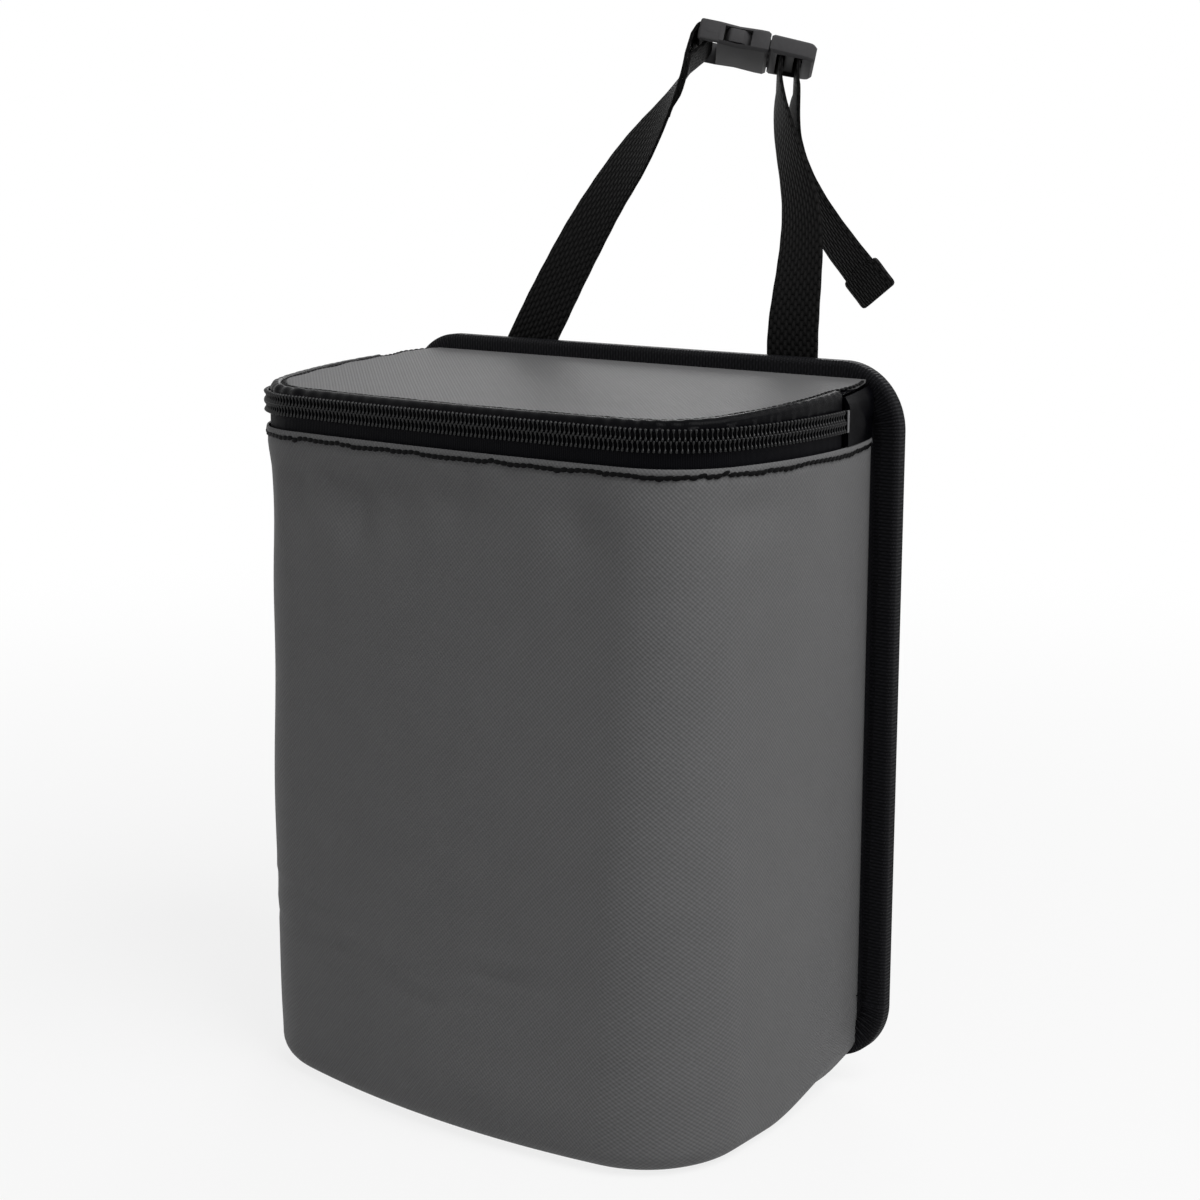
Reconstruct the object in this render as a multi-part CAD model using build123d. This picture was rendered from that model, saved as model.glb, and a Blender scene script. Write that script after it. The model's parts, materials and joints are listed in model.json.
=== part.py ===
from build123d import *
import os
from math import asin, atan2, cos, degrees, radians, sin, sqrt, tan

# A soft car trash bin: a D-shaped cloth bag with a zipped lid, sewn to a stiff back panel.
# Two webbing straps and a side-release buckle close round a headrest post.
# Lengths are in millimetres. +X is to the right, +Y towards the seat behind, +Z up.
# The origin is on the ground under the middle of the bag.

# sheet thicknesses and the gaps between pieces
cloth = 0.8
liner_film = 0.5
layer_gap = 0.1
moving_gap = 0.3

# plan of the bag: half width at the back, how far the sides bulge, depth, corner and front radii
bag_depth = 145.5
panel_front = bag_depth / 2
widest_ahead = 53.0
base_plan = dict(half=119.0, bulge=0.8, depth=bag_depth, corner=48.0, front=445.0)
rim_plan = dict(half=119.0, bulge=8.5, depth=132.0, corner=38.0, front=1300.0)

# straight runs that stand for the side, corner and front arcs of the walls, and steps of the eased bottom
side_runs = 6
turn_runs = 6
front_runs = 6
ease_steps = 3

# heights of the bag
base_round = 10.0
turn_under = 3.0
rim_height = 284.0
hem_height = 5.0
hem_step = 0.5
seam_allowance = 8.0

# stiffening inside the bag
wall_foam = 3.0
floor_board = 2.5
liner_inset = cloth + wall_foam + 3 * layer_gap
liner_floor = cloth + floor_board + 2 * layer_gap

# back panel and its binding
panel_width = 264.5
panel_bottom = 10.0
panel_top = 314.5
panel_height = panel_top - panel_bottom
panel_corner = 28.0
back_board = 3.2
binding_tape = 0.9
binding_leg = 10.6
binding_edge = 1.2
board_front = panel_front + cloth + layer_gap
outer_front = board_front + back_board + layer_gap
panel_rear = outer_front + cloth
binding_front = panel_front - layer_gap - binding_tape
binding_rear = panel_rear + layer_gap + binding_tape

# coil zipper: insets are measured inwards from the bag's outer face
tape = 0.7
tape_inset = cloth + 5 * layer_gap
chain_proud = 1.4
chain_thickness = chain_proud + tape_inset - layer_gap
chain_above_rim = 6.0
chain_bottom = rim_height + chain_above_rim
chain_height = 9.0
parting = chain_bottom + chain_height / 2
tooth_pitch = 3.9
tooth_gap = 1.7
tooth_depth = 2.4
tape_below_rim = 4.5
lower_tape_top = parting - 1.5
upper_tape_bottom = parting + 2.2
chain_end_gap = 34.0
chain_end = panel_front - chain_end_gap
stop_length = 1.8
tab_start = chain_end + stop_length + 2 * layer_gap
tab_end = binding_front - layer_gap
tab_thickness = 3.0
tab_proud = 0.7

# lid: its top is level with the hinge line at the back and drops to the front
hinge_clear = 0.6
hinge_y = binding_front - hinge_clear
hinge_z = 307.8
lid_drop = 7.0
lid_tilt = degrees(atan2(lid_drop, rim_plan["depth"]))
lid_inset = 7.0
lid_foam_inset = 14.2
lid_foam = 3.0
tape_flange_inset = lid_foam_inset - layer_gap
lid_lining_inset = 6.0
flange_depth = cloth + layer_gap
foam_depth = flange_depth + lid_foam
lining_depth = foam_depth + layer_gap

# zipper slider, parked at the left end of the chain
slider_length = 17.0
slider_height = 14.4
slider_corner = 4.5
slider_edge = 0.7
slider_plate = 1.6
slider_wall = 1.8
slider_clear = 0.4
inner_plate_clear = 0.5
inner_plate = 1.4
inner_plate_low = 6.0
inner_plate_high = 3.9
post_length = 4.0
post_low = 0.2
post_high = 1.8
slider_y = tab_start - slider_clear - slider_length / 2
bail_length = 11.0
bail_width = 3.6
bail_bar = 1.2
bail_tunnel = 2.9
bail_corner = 1.6

# pull tab on the slider
pull_thickness = 1.8
pull_length = 34.0
pull_width = 9.2
pull_eye = 6.0
pull_arm = 2.1
pull_corner = 1.6
grip_length = 9.0
grip_width = 4.0
grip_margin = 2.5

# webbing straps
webbing_width = 25.0
webbing = 1.5
left_strap_x = -64.0
left_strap_lean = 31.0
right_strap_x = 75.8
sewn_length = 46.0
strap_bend = 2.5
strap_rise = 4.0
left_strap_middle = Vector(-20.2, panel_front + 12.7, 386.0)
right_strap_middle = Vector(71.4, panel_front + 18.3, 374.6)
tail_upper = Vector(64.7, panel_front + 32.9, 402.5)
tail_lower = Vector(73.3, panel_front + 31.6, 379.6)
tail_tip = Vector(99.4, panel_front + 35.8, 340.0)
tail_flare = Vector(0.577, 0.23, -0.773)
tail_across = Vector(0.1, -0.97, -0.22)
hem_extra_width = 1.4
tail_hem_length = 12.0
tail_hem_edge = 0.6
late_turn = 1.9
ribbon_steps = 14

# side-release buckle: X along its length, Y across it, Z through it
buckle_centre = Vector(40.8, panel_front + 26.6, 441.0)
buckle_yaw = 32.0
buckle_dip = 11.4
buckle_roll = 17.0
buckle_width = 31.0
buckle_thickness = 9.4
buckle_edge = 1.3
end_corner = 4.0
female_start = -23.8
female_end = 7.0
web_slot = 4.6
web_bar = 4.4
web_bar_thickness = 4.4
bar_edge = 1.2
rail = 2.6
waist_cut = 1.4
collar = 4.8
cavity_wall = 2.9
cavity_height = 6.6
cavity_margin = 1.2
window_margin = 2.2
window_end = -0.8
male_start = female_end + slider_clear
male_end = 27.0
male_taper = 2.0
male_thickness = 7.6
male_edge = 1.1
ladder_slot = 3.6
ladder_first = 10.8
ladder_bar = 3.8
tongue_width = 4.0
tongue_end = -8.0

# spring arms of the buckle, measured from its middle line
arm_clear = 0.4
arm_height = cavity_height - 1.0
arm_root = male_start + 0.5
arm_root_inner = 7.0
arm_root_outer = 9.8
arm_tip_inner = 9.3
arm_tip_outer = 11.2
button_reach = 15.1
button_end_reach = 14.8
button_slope = 2.2
button_length = 7.8
shoulder_reach = 11.8
shoulder_slope = 3.2
button_round = 1.5

os.makedirs("parts", exist_ok=True)


def arc_about(centre, start, end):
    """The short arc from start to end round a centre."""
    radius = (start - centre).length
    middle = centre + ((start - centre) + (end - centre)).normalized() * radius
    return ThreePointArc(start, middle, end)


def side_circle(plan):
    """Centre and radius of the arc that forms the right side."""
    radius = (widest_ahead**2 + plan["bulge"] ** 2) / (2 * plan["bulge"])
    centre = Vector(plan["half"] + plan["bulge"] - radius, panel_front - widest_ahead)
    return centre, radius


def half_outline(plan, inset, rear):
    """Points and centres of the right half of a plan outline, from the back to the front."""
    side_centre, side_radius = side_circle(plan)
    front_radius = plan["front"]
    front_centre = Vector(0, panel_front - plan["depth"] + front_radius)
    apart = front_centre - side_centre
    side_reach = side_radius - plan["corner"]
    front_reach = front_radius - plan["corner"]
    along = (side_reach**2 - front_reach**2 + apart.length**2) / (2 * apart.length)
    across = sqrt(side_reach**2 - along**2)
    step = apart.normalized()
    corner_centre = side_centre + step * along + Vector(step.Y, -step.X) * across
    radius = side_radius - inset
    back = Vector(side_centre.X + sqrt(radius**2 - (rear - side_centre.Y) ** 2), rear)
    side_end = side_centre + (corner_centre - side_centre).normalized() * radius
    front_end = front_centre + (corner_centre - front_centre).normalized() * (front_radius - inset)
    nose = Vector(0, panel_front - plan["depth"] + inset)
    return back, side_end, front_end, nose, side_centre, corner_centre


def mirrored(point):
    return Vector(-point.X, point.Y, point.Z)


def outline_edges(plan, inset, rear):
    """Five arcs from the right back end round the front to the left back end."""
    back, side_end, front_end, nose, side_centre, corner_centre = half_outline(plan, inset, rear)
    return [
        arc_about(side_centre, back, side_end),
        arc_about(corner_centre, side_end, front_end),
        ThreePointArc(front_end, nose, mirrored(front_end)),
        arc_about(mirrored(corner_centre), mirrored(front_end), mirrored(side_end)),
        arc_about(mirrored(side_centre), mirrored(side_end), mirrored(back)),
    ]


def plan_face(plan, inset, rear):
    """The filled plan, closed by a straight line at the back."""
    edges = outline_edges(plan, inset, rear)
    edges.append(Line(edges[-1] @ 1, edges[0] @ 0))
    return make_face(edges)


def band_face(plan, outer, inner, rear):
    """The strip between two insets, open at the back."""
    outside = outline_edges(plan, outer, rear)
    inside = outline_edges(plan, inner, rear)
    ends = [Line(outside[0] @ 0, inside[0] @ 0), Line(outside[-1] @ 1, inside[-1] @ 1)]
    return make_face(outside + inside + ends)


def raised(face, bottom, top):
    """A face drawn on the ground, as a solid between two heights."""
    return extrude(Pos(0, 0, bottom) * face, top - bottom)


def wall_points(plan, inset, rear, height=0):
    """Corners of the plan in short straight runs, at a height."""
    counts = (side_runs, turn_runs, front_runs, turn_runs, side_runs)
    points = []
    for edge, count in zip(outline_edges(plan, inset, rear), counts):
        points += [edge @ (run / count) for run in range(count)]
    points.append(edge @ 1)
    return [Vector(point.X, point.Y, height) for point in points]


def wall_plan(plan, inset, rear):
    """The filled plan in short straight runs."""
    return make_face(Polyline(*wall_points(plan, inset, rear), close=True))


def skin(rows):
    """A solid through rows of corners, with two flat triangles for each step and a face at each end.
    The second half of a row is split the other way, so that opposite sides match."""
    faces = [Face(Wire.make_polygon(rows[0])), Face(Wire.make_polygon(rows[-1]))]
    for row, following in zip(rows, rows[1:]):
        for corner in range(len(row)):
            near, far = (corner - 1, corner) if corner <= len(row) / 2 else (corner, corner - 1)
            faces.append(Face(Wire.make_polygon([row[near], row[far], following[far]])))
            faces.append(Face(Wire.make_polygon([row[near], following[far], following[near]])))
    return Solid(Shell(faces))


def bag_solid(inset, floor, rear):
    """The bag's filled form, inset at the sides and lifted to floor: an eased bottom edge, then the wall."""
    ease = base_round - inset
    rows = []
    for step in range(ease_steps + 1):
        turn = radians(90 * step / ease_steps)
        side = ease * (1 - sin(turn))
        lift = ease * (1 - cos(turn))
        rows.append(wall_points(base_plan, inset + side, rear - side, floor + lift))
    rows.append(wall_points(rim_plan, inset, rear, rim_height))
    return skin(rows)


def wall_form(inset, rear):
    """The filled form between the top of the eased edge and the rim."""
    lower_row = wall_points(base_plan, inset, rear, base_round)
    upper_row = wall_points(rim_plan, inset, rear, rim_height)
    return skin([lower_row, upper_row])


# back panel: lining, board and outer cloth, with the binding folded round their edge
def upright(inset, front, rear):
    """A rounded sheet of the back panel between two depths."""
    base = Plane(origin=(0, front, panel_bottom + panel_height / 2), x_dir=(1, 0, 0), z_dir=(0, 1, 0))
    width = panel_width - 2 * inset
    height = panel_height - 2 * inset
    return extrude(base * RectangleRounded(width, height, panel_corner - inset), rear - front)


sheet_inset = binding_tape + layer_gap
back_lining = upright(sheet_inset, panel_front, panel_front + cloth)
back_board_sheet = upright(sheet_inset, board_front, board_front + back_board)
back_outer_panel = upright(sheet_inset, outer_front, panel_rear)
back_binding = upright(0, binding_front, binding_rear)
binding_rims = back_binding.faces().sort_by(Axis.Y)
back_binding = chamfer(binding_rims[0].edges() + binding_rims[-1].edges(), binding_edge)
back_binding -= upright(binding_tape, panel_front - layer_gap, panel_rear + layer_gap)
back_binding -= upright(binding_leg, binding_front - binding_tape, binding_rear + binding_tape)
back_binding -= bag_solid(-layer_gap, -layer_gap, panel_front)

# body wrap: turned under at the bottom, with a folded hem at the rim
bag_rear = panel_front - layer_gap
body_panel = bag_solid(0, 0, bag_rear) - bag_solid(cloth, cloth, bag_rear - cloth)
open_width = 2 * (base_plan["half"] - seam_allowance)
open_back = Pos(0, bag_rear, base_round + rim_height / 2) * Box(open_width, 4 * cloth, rim_height)
body_panel -= open_back
bottom_rear = bag_rear - base_round - turn_under
bottom_hole = plan_face(base_plan, base_round + turn_under, bottom_rear)
body_panel -= raised(bottom_hole, 0, cloth)
hem = band_face(rim_plan, -hem_step, cloth / 2, bag_rear - cloth)
body_panel += raised(hem, rim_height - hem_height, rim_height)

# bottom panel, floor board, wall foam and the sealed liner
bottom_inset = base_round + turn_under + layer_gap
bottom_panel = raised(plan_face(base_plan, bottom_inset, bottom_rear - layer_gap), 0, cloth)
bottom_board = raised(
    plan_face(base_plan, base_round, bag_rear - base_round), cloth + layer_gap, liner_floor - layer_gap
)
foam_top = rim_height - tape_below_rim - layer_gap
inside_rear = bag_rear - cloth - layer_gap
foam_inset = cloth + layer_gap
body_foam = wall_form(foam_inset, inside_rear) - wall_form(foam_inset + wall_foam, inside_rear)
body_foam = split(body_foam, Plane.XY.offset(foam_top), keep=Keep.BOTTOM)
liner_rear = inside_rear - moving_gap
inner_liner = bag_solid(liner_inset, liner_floor, liner_rear)
inner_liner -= bag_solid(liner_inset + liner_film, liner_floor + liner_film, liner_rear - liner_film)


# zipper
def comb(bottom, top, from_top):
    """One half of the coil: a rim strip with a row of teeth at the parting line."""
    outside = wall_plan(rim_plan, -chain_proud, chain_end)
    inside = wall_plan(rim_plan, tape_inset - 3 * layer_gap, chain_end)
    strip = raised(outside - inside, bottom, top)
    path = Wire(outline_edges(rim_plan, -chain_proud / 2, chain_end))
    count = int(path.length / tooth_pitch)
    cut_bottom = top - tooth_depth if from_top else bottom
    first = 0.25 if from_top else 0.75
    cutters = []
    for tooth in range(count):
        place = (tooth + first) / count
        frame = Plane(origin=path @ place, x_dir=path % place, z_dir=(0, 0, 1))
        notch = extrude(frame * Rectangle(tooth_gap, 2 * chain_thickness), tooth_depth)
        cutters.append(Pos(0, 0, cut_bottom) * notch)
    return strip - cutters


def lid_side(solid):
    """Turns a level lid sheet down to the front about the hinge line."""
    return solid.rotate(Axis((0, hinge_y, hinge_z), (1, 0, 0)), lid_tilt)


def lid_sheet(face, top, bottom):
    """A lid layer between two depths below the lid's top."""
    return lid_side(raised(face, hinge_z - bottom, hinge_z - top))


def below_lid(solid, depth):
    """Keeps what lies more than a depth below the lid's tilted top."""
    upward = Vector(0, -sin(radians(lid_tilt)), cos(radians(lid_tilt)))
    cut = Plane(origin=Vector(0, hinge_y, hinge_z) - upward * depth, z_dir=upward)
    return split(solid, cut, keep=Keep.BOTTOM)


tape_strip = band_face(rim_plan, tape_inset, tape_inset + tape, chain_end)
zipper_tape_lower = raised(tape_strip, rim_height - tape_below_rim, lower_tape_top)
zipper_chain_lower = comb(chain_bottom, parting - moving_gap / 2, True)
zipper_chain_upper = comb(parting + moving_gap / 2, chain_bottom + chain_height, False)
slider_front = slider_y - slider_length / 2
chain_cut_length = panel_front - slider_front
chain_cut = Pos(-rim_plan["half"], panel_front - chain_cut_length / 2, parting)
zipper_chain_upper -= chain_cut * Box(rim_plan["half"], chain_cut_length, 2 * chain_height)
tape_wall = raised(tape_strip, upper_tape_bottom, hinge_z + cloth)
tape_wall = below_lid(tape_wall, flange_depth)
flange_strip = band_face(rim_plan, tape_inset + tape / 2, tape_flange_inset, hinge_y)
tape_flange = lid_sheet(flange_strip, flange_depth, flange_depth + tape)
zipper_tape_upper = tape_wall + tape_flange
end_strip = band_face(rim_plan, -tab_proud, tab_thickness - tab_proud, tab_end)
stop_strip = band_face(rim_plan, -chain_proud, tape_inset, tab_start)
tab_length = tab_end - tab_start
tabs = raised(end_strip, rim_height + layer_gap, hinge_z + cloth)
tabs = below_lid(tabs, flange_depth + tape + moving_gap)
tab_zone = Box(rim_plan["half"], tab_length, 4 * chain_height)
zipper_tab_right = tabs & Pos(rim_plan["half"], tab_start + tab_length / 2, parting) * tab_zone
zipper_tab_left = tabs & Pos(-rim_plan["half"], tab_start + tab_length / 2, parting) * tab_zone
stops = raised(stop_strip, chain_bottom, chain_bottom + chain_height)
stop_zone = Box(rim_plan["half"], stop_length, 2 * chain_height)
stop_middle = chain_end + layer_gap + stop_length / 2
zipper_end_stop = stops & Pos(rim_plan["half"], stop_middle, parting) * stop_zone

# lid cloth, foam and lining
lid_panel = lid_sheet(plan_face(rim_plan, lid_inset, hinge_y), 0, cloth)
lid_foam_sheet = lid_sheet(plan_face(rim_plan, lid_foam_inset, hinge_y - cloth), flange_depth, foam_depth)
lining_face = plan_face(rim_plan, lid_lining_inset, hinge_y)
lid_lining = lid_sheet(lining_face, lining_depth, lining_depth + liner_film)

# slider and pull: local X runs forward along the chain, Y up, Z away from the bag
side_centre, side_radius = side_circle(rim_plan)
slider_centre = mirrored(side_centre)
slider_angle = asin((slider_y - slider_centre.Y) / side_radius)
outward = Vector(-cos(slider_angle), sin(slider_angle))
forward = Vector(-sin(slider_angle), -cos(slider_angle))
chain_face = slider_centre + outward * (side_radius + chain_proud)
slider_frame = Plane(origin=(chain_face.X, chain_face.Y, parting), x_dir=forward, z_dir=outward)

plate_top = slider_clear + slider_plate
plate_face = RectangleRounded(slider_length, slider_height, slider_corner)
plate = Pos(0, 0, slider_clear) * extrude(plate_face, slider_plate)
plate = chamfer(plate.faces().sort_by(Axis.Z)[-1].edges(), slider_edge)
wall_reach = slider_clear + chain_proud
wall_top = slider_clear + slider_plate / 2
slider_wall_y = slider_height / 2 - slider_wall / 2
slider = plate
for side in (1, -1):
    wall_base = Pos(0, side * slider_wall_y, wall_top - wall_reach / 2)
    slider += wall_base * Box(slider_length - 2 * slider_corner, slider_wall, wall_reach)
inner_top = -(chain_thickness + layer_gap + tape + inner_plate_clear)
inner_height = inner_plate_low + inner_plate_high
inner_middle = (inner_plate_high - inner_plate_low) / 2
slider += Pos(0, inner_middle, inner_top - inner_plate / 2) * Box(slider_length, inner_height, inner_plate)
post_bottom = inner_top - inner_plate / 2
post_reach = wall_top - post_bottom
post_middle = (wall_top + post_bottom) / 2
post_height = post_high - post_low
post_place = Pos(post_length, (post_low + post_high) / 2, post_middle)
slider += post_place * Box(post_length, post_height, post_reach)
bail_height = bail_tunnel + bail_bar
bail_foot = slider_plate / 4
bail_outer = Pos(0, (bail_height - bail_foot) / 2) * Rectangle(bail_length, bail_height + bail_foot)
bail_outer = fillet(bail_outer.vertices().sort_by(Axis.Y)[-2:], bail_corner)
bail_face = bail_outer - Pos(0, bail_tunnel / 2) * Rectangle(bail_length - 3 * bail_bar, bail_tunnel)
bail_plane = Plane(origin=(0, bail_width / 2, plate_top), x_dir=(1, 0, 0), z_dir=(0, -1, 0))
slider += extrude(bail_plane * bail_face, bail_width)
zipper_slider = slider_frame * slider

pivot_height = plate_top + bail_tunnel / 2
pull_face = Pos(pull_length / 2, 0) * RectangleRounded(pull_length + pull_thickness, pull_width, pull_corner)
eye_start = pull_thickness / 2
pull_hole = Pos((eye_start + pull_eye) / 2, 0) * Rectangle(pull_eye - eye_start, 2 * pull_arm)
grip_hole = Pos(pull_length - grip_margin - grip_length / 2, 0) * SlotOverall(grip_length, grip_width)
pull_plate = extrude(pull_face - pull_hole - grip_hole, pull_thickness)
zipper_pull = slider_frame * Pos(0, 0, pivot_height - pull_thickness / 2) * pull_plate


# buckle
def turned(vector, axis, angle):
    """A vector turned about an axis by degrees."""
    return vector.rotate(Axis((0, 0, 0), axis), angle)


level_axis = turned(Vector(1, 0, 0), (0, 0, 1), buckle_yaw)
level_across = turned(Vector(0, 1, 0), (0, 0, 1), buckle_yaw)
buckle_axis = turned(level_axis, level_across, buckle_dip)
buckle_across = turned(level_across, buckle_axis, -buckle_roll)
buckle_up = buckle_axis.cross(buckle_across)
buckle_frame = Plane(origin=buckle_centre, x_dir=buckle_axis, z_dir=buckle_up)


def block(start, end, width, height):
    """A box along the buckle between two stations, centred across it."""
    return Pos((start + end) / 2, 0, 0) * Box(end - start, width, height)


slot_start = female_start + web_bar
slot_end = slot_start + web_slot
cavity_start = slot_end + cavity_margin
window_start = slot_end + window_margin
past = buckle_width + buckle_thickness
cavity_width = buckle_width - 2 * cavity_wall
web_slot_width = buckle_width - 2 * rail
half_width = buckle_width / 2
waist = half_width - waist_cut
collar_start = female_end - collar
waist_middle = (window_start + window_end) / 2
female_outline = [
    (female_start, -half_width),
    (slot_end, -half_width),
    (waist_middle, -waist),
    (collar_start, -half_width),
    (female_end, -half_width),
    (female_end, half_width),
    (collar_start, half_width),
    (waist_middle, waist),
    (slot_end, half_width),
    (female_start, half_width),
]
female_face = make_face(Polyline(*female_outline, close=True))
female_face = fillet(female_face.vertices().group_by(Axis.X)[0], end_corner)
female = Pos(0, 0, -buckle_thickness / 2) * extrude(female_face, buckle_thickness)
female_rims = female.faces().filter_by(Axis.Z)
female_rims = female_rims.sort_by(Axis.Z)
female = chamfer(female_rims[0].edges() + female_rims[-1].edges(), buckle_edge)
thin_height = (buckle_thickness - web_bar_thickness) / 2
for side in (1, -1):
    thin_z = side * (web_bar_thickness + thin_height) / 2
    female -= Pos(0, 0, thin_z) * block(female_start, slot_end, past, thin_height)
female -= block(slot_start, slot_end, web_slot_width, buckle_thickness)
bar_edges = female.edges().filter_by(Axis.Y)
bar_edges = bar_edges.filter_by_position(Axis.X, female_start - layer_gap, slot_start + layer_gap)
female = chamfer(bar_edges, bar_edge)
female -= block(cavity_start, past, cavity_width, cavity_height)
female -= block(window_start, window_end, past, cavity_height)
buckle_female = buckle_frame * female

male_outline = [
    (male_start, -half_width),
    (male_end, -half_width + male_taper),
    (male_end, half_width - male_taper),
    (male_start, half_width),
]
male_face = make_face(Polyline(*male_outline, close=True))
male_face = fillet(male_face.vertices().group_by(Axis.X)[-1], end_corner)
male = Pos(0, 0, -male_thickness / 2) * extrude(male_face, male_thickness)
male_rims = male.faces().filter_by(Axis.Z).sort_by(Axis.Z)
male = chamfer(male_rims[0].edges() + male_rims[-1].edges(), male_edge)
ladder_second = ladder_first + ladder_slot + ladder_bar
ladder_end = ladder_second + ladder_slot
bar_thin = (male_thickness - web_bar_thickness) / 2
for start in (ladder_first, ladder_second):
    male -= block(start, start + ladder_slot, web_slot_width, male_thickness)
for side in (1, -1):
    bar_z = side * (web_bar_thickness + bar_thin) / 2
    male -= Pos(0, 0, bar_z) * block(ladder_first, ladder_end, web_slot_width, bar_thin)
arm_tip = window_start + arm_clear
button_start = arm_tip + button_slope
button_end = arm_tip + button_length
arm_outline = [
    (arm_root, arm_root_inner),
    (arm_tip, arm_tip_inner),
    (arm_tip, arm_tip_outer),
    (button_start, button_reach),
    (button_end, button_end_reach),
    (button_end + shoulder_slope, shoulder_reach),
    (arm_root, arm_root_outer),
]
arm_face = make_face(Polyline(*arm_outline, close=True))
arm_face = fillet(arm_face.vertices().sort_by(Axis.Y)[-2:], button_round)
arm = Pos(0, 0, -arm_height / 2) * extrude(arm_face, arm_height)
male += arm
male += mirror(arm, Plane.XZ)
male += block(tongue_end, arm_root, tongue_width, arm_height)
buckle_male = buckle_frame * male


# straps
def ribbon(points, tangents, first_across, last_across, ease=1.0):
    """Webbing along a smooth curve, turning from one width direction to another."""
    path = Spline(*points, tangents=tangents)
    turn = radians(first_across.get_angle(last_across))
    rows = []
    for step in range(ribbon_steps + 1):
        part = step / ribbon_steps
        heading = path % part
        turned_part = part**ease
        across = first_across * sin((1 - turned_part) * turn) + last_across * sin(turned_part * turn)
        across = (across - heading * across.dot(heading)).normalized()
        side = across * (webbing_width / 2)
        face = heading.cross(across) * (webbing / 2)
        middle = path @ part
        rows.append([middle + side + face, middle - side + face, middle - side - face, middle + side - face])
    return skin(rows)


def sweep_webbing(points, radii, across):
    """Webbing folded along a path that keeps one width direction."""
    path = FilletPolyline(*points, radius=radii)
    frame = Plane(origin=path @ 0, x_dir=across, z_dir=path % 0)
    return sweep(frame * Rectangle(webbing_width, webbing), path=path)


def sewn_end(base_x, lean):
    """The flat end sewn to the back, stepped over the binding, and where the free strap begins."""
    up = Vector(sin(radians(lean)), 0, cos(radians(lean)))
    across = Vector(cos(radians(lean)), 0, -sin(radians(lean)))
    root = Vector(base_x, 0, panel_top)
    flat = panel_rear + layer_gap + webbing / 2
    over = binding_rear + layer_gap + webbing / 2
    step_height = binding_leg / cos(radians(lean)) + webbing_width / 2 * tan(radians(lean))
    step_top = -step_height - webbing
    step_bottom = step_top - 2 * strap_bend
    stations = [(-sewn_length, flat), (step_bottom, flat), (step_top, over), (strap_rise, over)]
    points = [root + up * height + Vector(0, depth, 0) for height, depth in stations]
    return sweep_webbing(points, strap_bend, across), points[-1], up, across


def in_buckle(x, z):
    """A point in the buckle's middle plane."""
    return buckle_centre + buckle_axis * x + buckle_up * z


left_end, left_start, left_up, left_across = sewn_end(left_strap_x, left_strap_lean)
bar_x = female_start + web_bar / 2
loop = web_bar_thickness / 2 + 4 * layer_gap + webbing / 2
fold = webbing / 2 + layer_gap
hang = Vector(-0.35, -0.94).normalized()
aside = Vector(hang.Y, -hang.X)
loop_lead = 12.0
loop_straight = loop
loop_stations = [
    hang * loop_lead + aside * fold,
    hang * loop_straight + aside * loop,
    hang * -loop + aside * loop,
    hang * -loop - aside * loop,
    hang * loop_straight - aside * loop,
    hang * loop_lead - aside * fold,
]
loop_points = [in_buckle(bar_x + station.X, station.Y) for station in loop_stations]
left_loop = sweep_webbing(loop_points, loop * 0.8, buckle_across)
loop_heading = (loop_points[1] - loop_points[0]).normalized()
left_points = [left_start, left_strap_middle, loop_points[0]]
left_run = ribbon(left_points, [left_up, loop_heading], left_across, -buckle_across, late_turn)
strap_left = left_end + left_run + left_loop

right_end, right_start, right_up, right_across = sewn_end(right_strap_x, 0)
inner_x = ladder_first + ladder_slot / 2
outer_x = ladder_second + ladder_slot / 2
bar_top = web_bar_thickness / 2 + webbing / 2 + 5 * layer_gap
below_bar = web_bar_thickness / 2 + layer_gap
strand_lead = 12.0
strand_lean = 1.6
ladder_points = [
    in_buckle(inner_x + strand_lean, -strand_lead),
    in_buckle(inner_x, -below_bar),
    in_buckle(inner_x, bar_top),
    in_buckle(outer_x, bar_top),
    in_buckle(outer_x, -below_bar),
    in_buckle(outer_x + strand_lean, -strand_lead),
]
right_fold = sweep_webbing(ladder_points, 1.5 * webbing, buckle_across)
rise = (ladder_points[1] - ladder_points[0]).normalized()
right_points = [right_start, right_strap_middle, ladder_points[0]]
right_run = ribbon(right_points, [right_up, rise], right_across, -buckle_across)
tail_points = [ladder_points[-1], tail_upper, tail_lower, tail_tip]
tail_drop = (ladder_points[-1] - ladder_points[-2]).normalized()
tail = ribbon(tail_points, [tail_drop, tail_flare], -buckle_across, tail_across)
tail_end = Plane(origin=tail_tip, x_dir=tail_across, z_dir=tail_flare)
hem_block = Box(webbing_width + hem_extra_width, 2 * webbing + layer_gap, tail_hem_length)
tail_hem = tail_end * Pos(0, 0, webbing - tail_hem_length / 2) * chamfer(hem_block.edges(), tail_hem_edge)
strap_right = right_end + right_run + right_fold + tail + tail_hem

pieces = {
    "back_lining": back_lining,
    "back_board": back_board_sheet,
    "back_outer_panel": back_outer_panel,
    "back_binding": back_binding,
    "body_panel": body_panel,
    "body_foam": body_foam,
    "bottom_panel": bottom_panel,
    "bottom_board": bottom_board,
    "inner_liner": inner_liner,
    "zipper_tape_lower": zipper_tape_lower,
    "zipper_chain_lower": zipper_chain_lower,
    "zipper_tape_upper": zipper_tape_upper,
    "zipper_chain_upper": zipper_chain_upper,
    "zipper_tab_right": zipper_tab_right,
    "zipper_tab_left": zipper_tab_left,
    "zipper_end_stop": zipper_end_stop,
    "zipper_slider": zipper_slider,
    "zipper_pull": zipper_pull,
    "lid_panel": lid_panel,
    "lid_foam": lid_foam_sheet,
    "lid_lining": lid_lining,
    "strap_left": strap_left,
    "strap_right": strap_right,
    "buckle_female": buckle_female,
    "buckle_male": buckle_male,
}
for name, piece in pieces.items():
    export_step(piece, f"parts/{name}.step")
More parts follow.
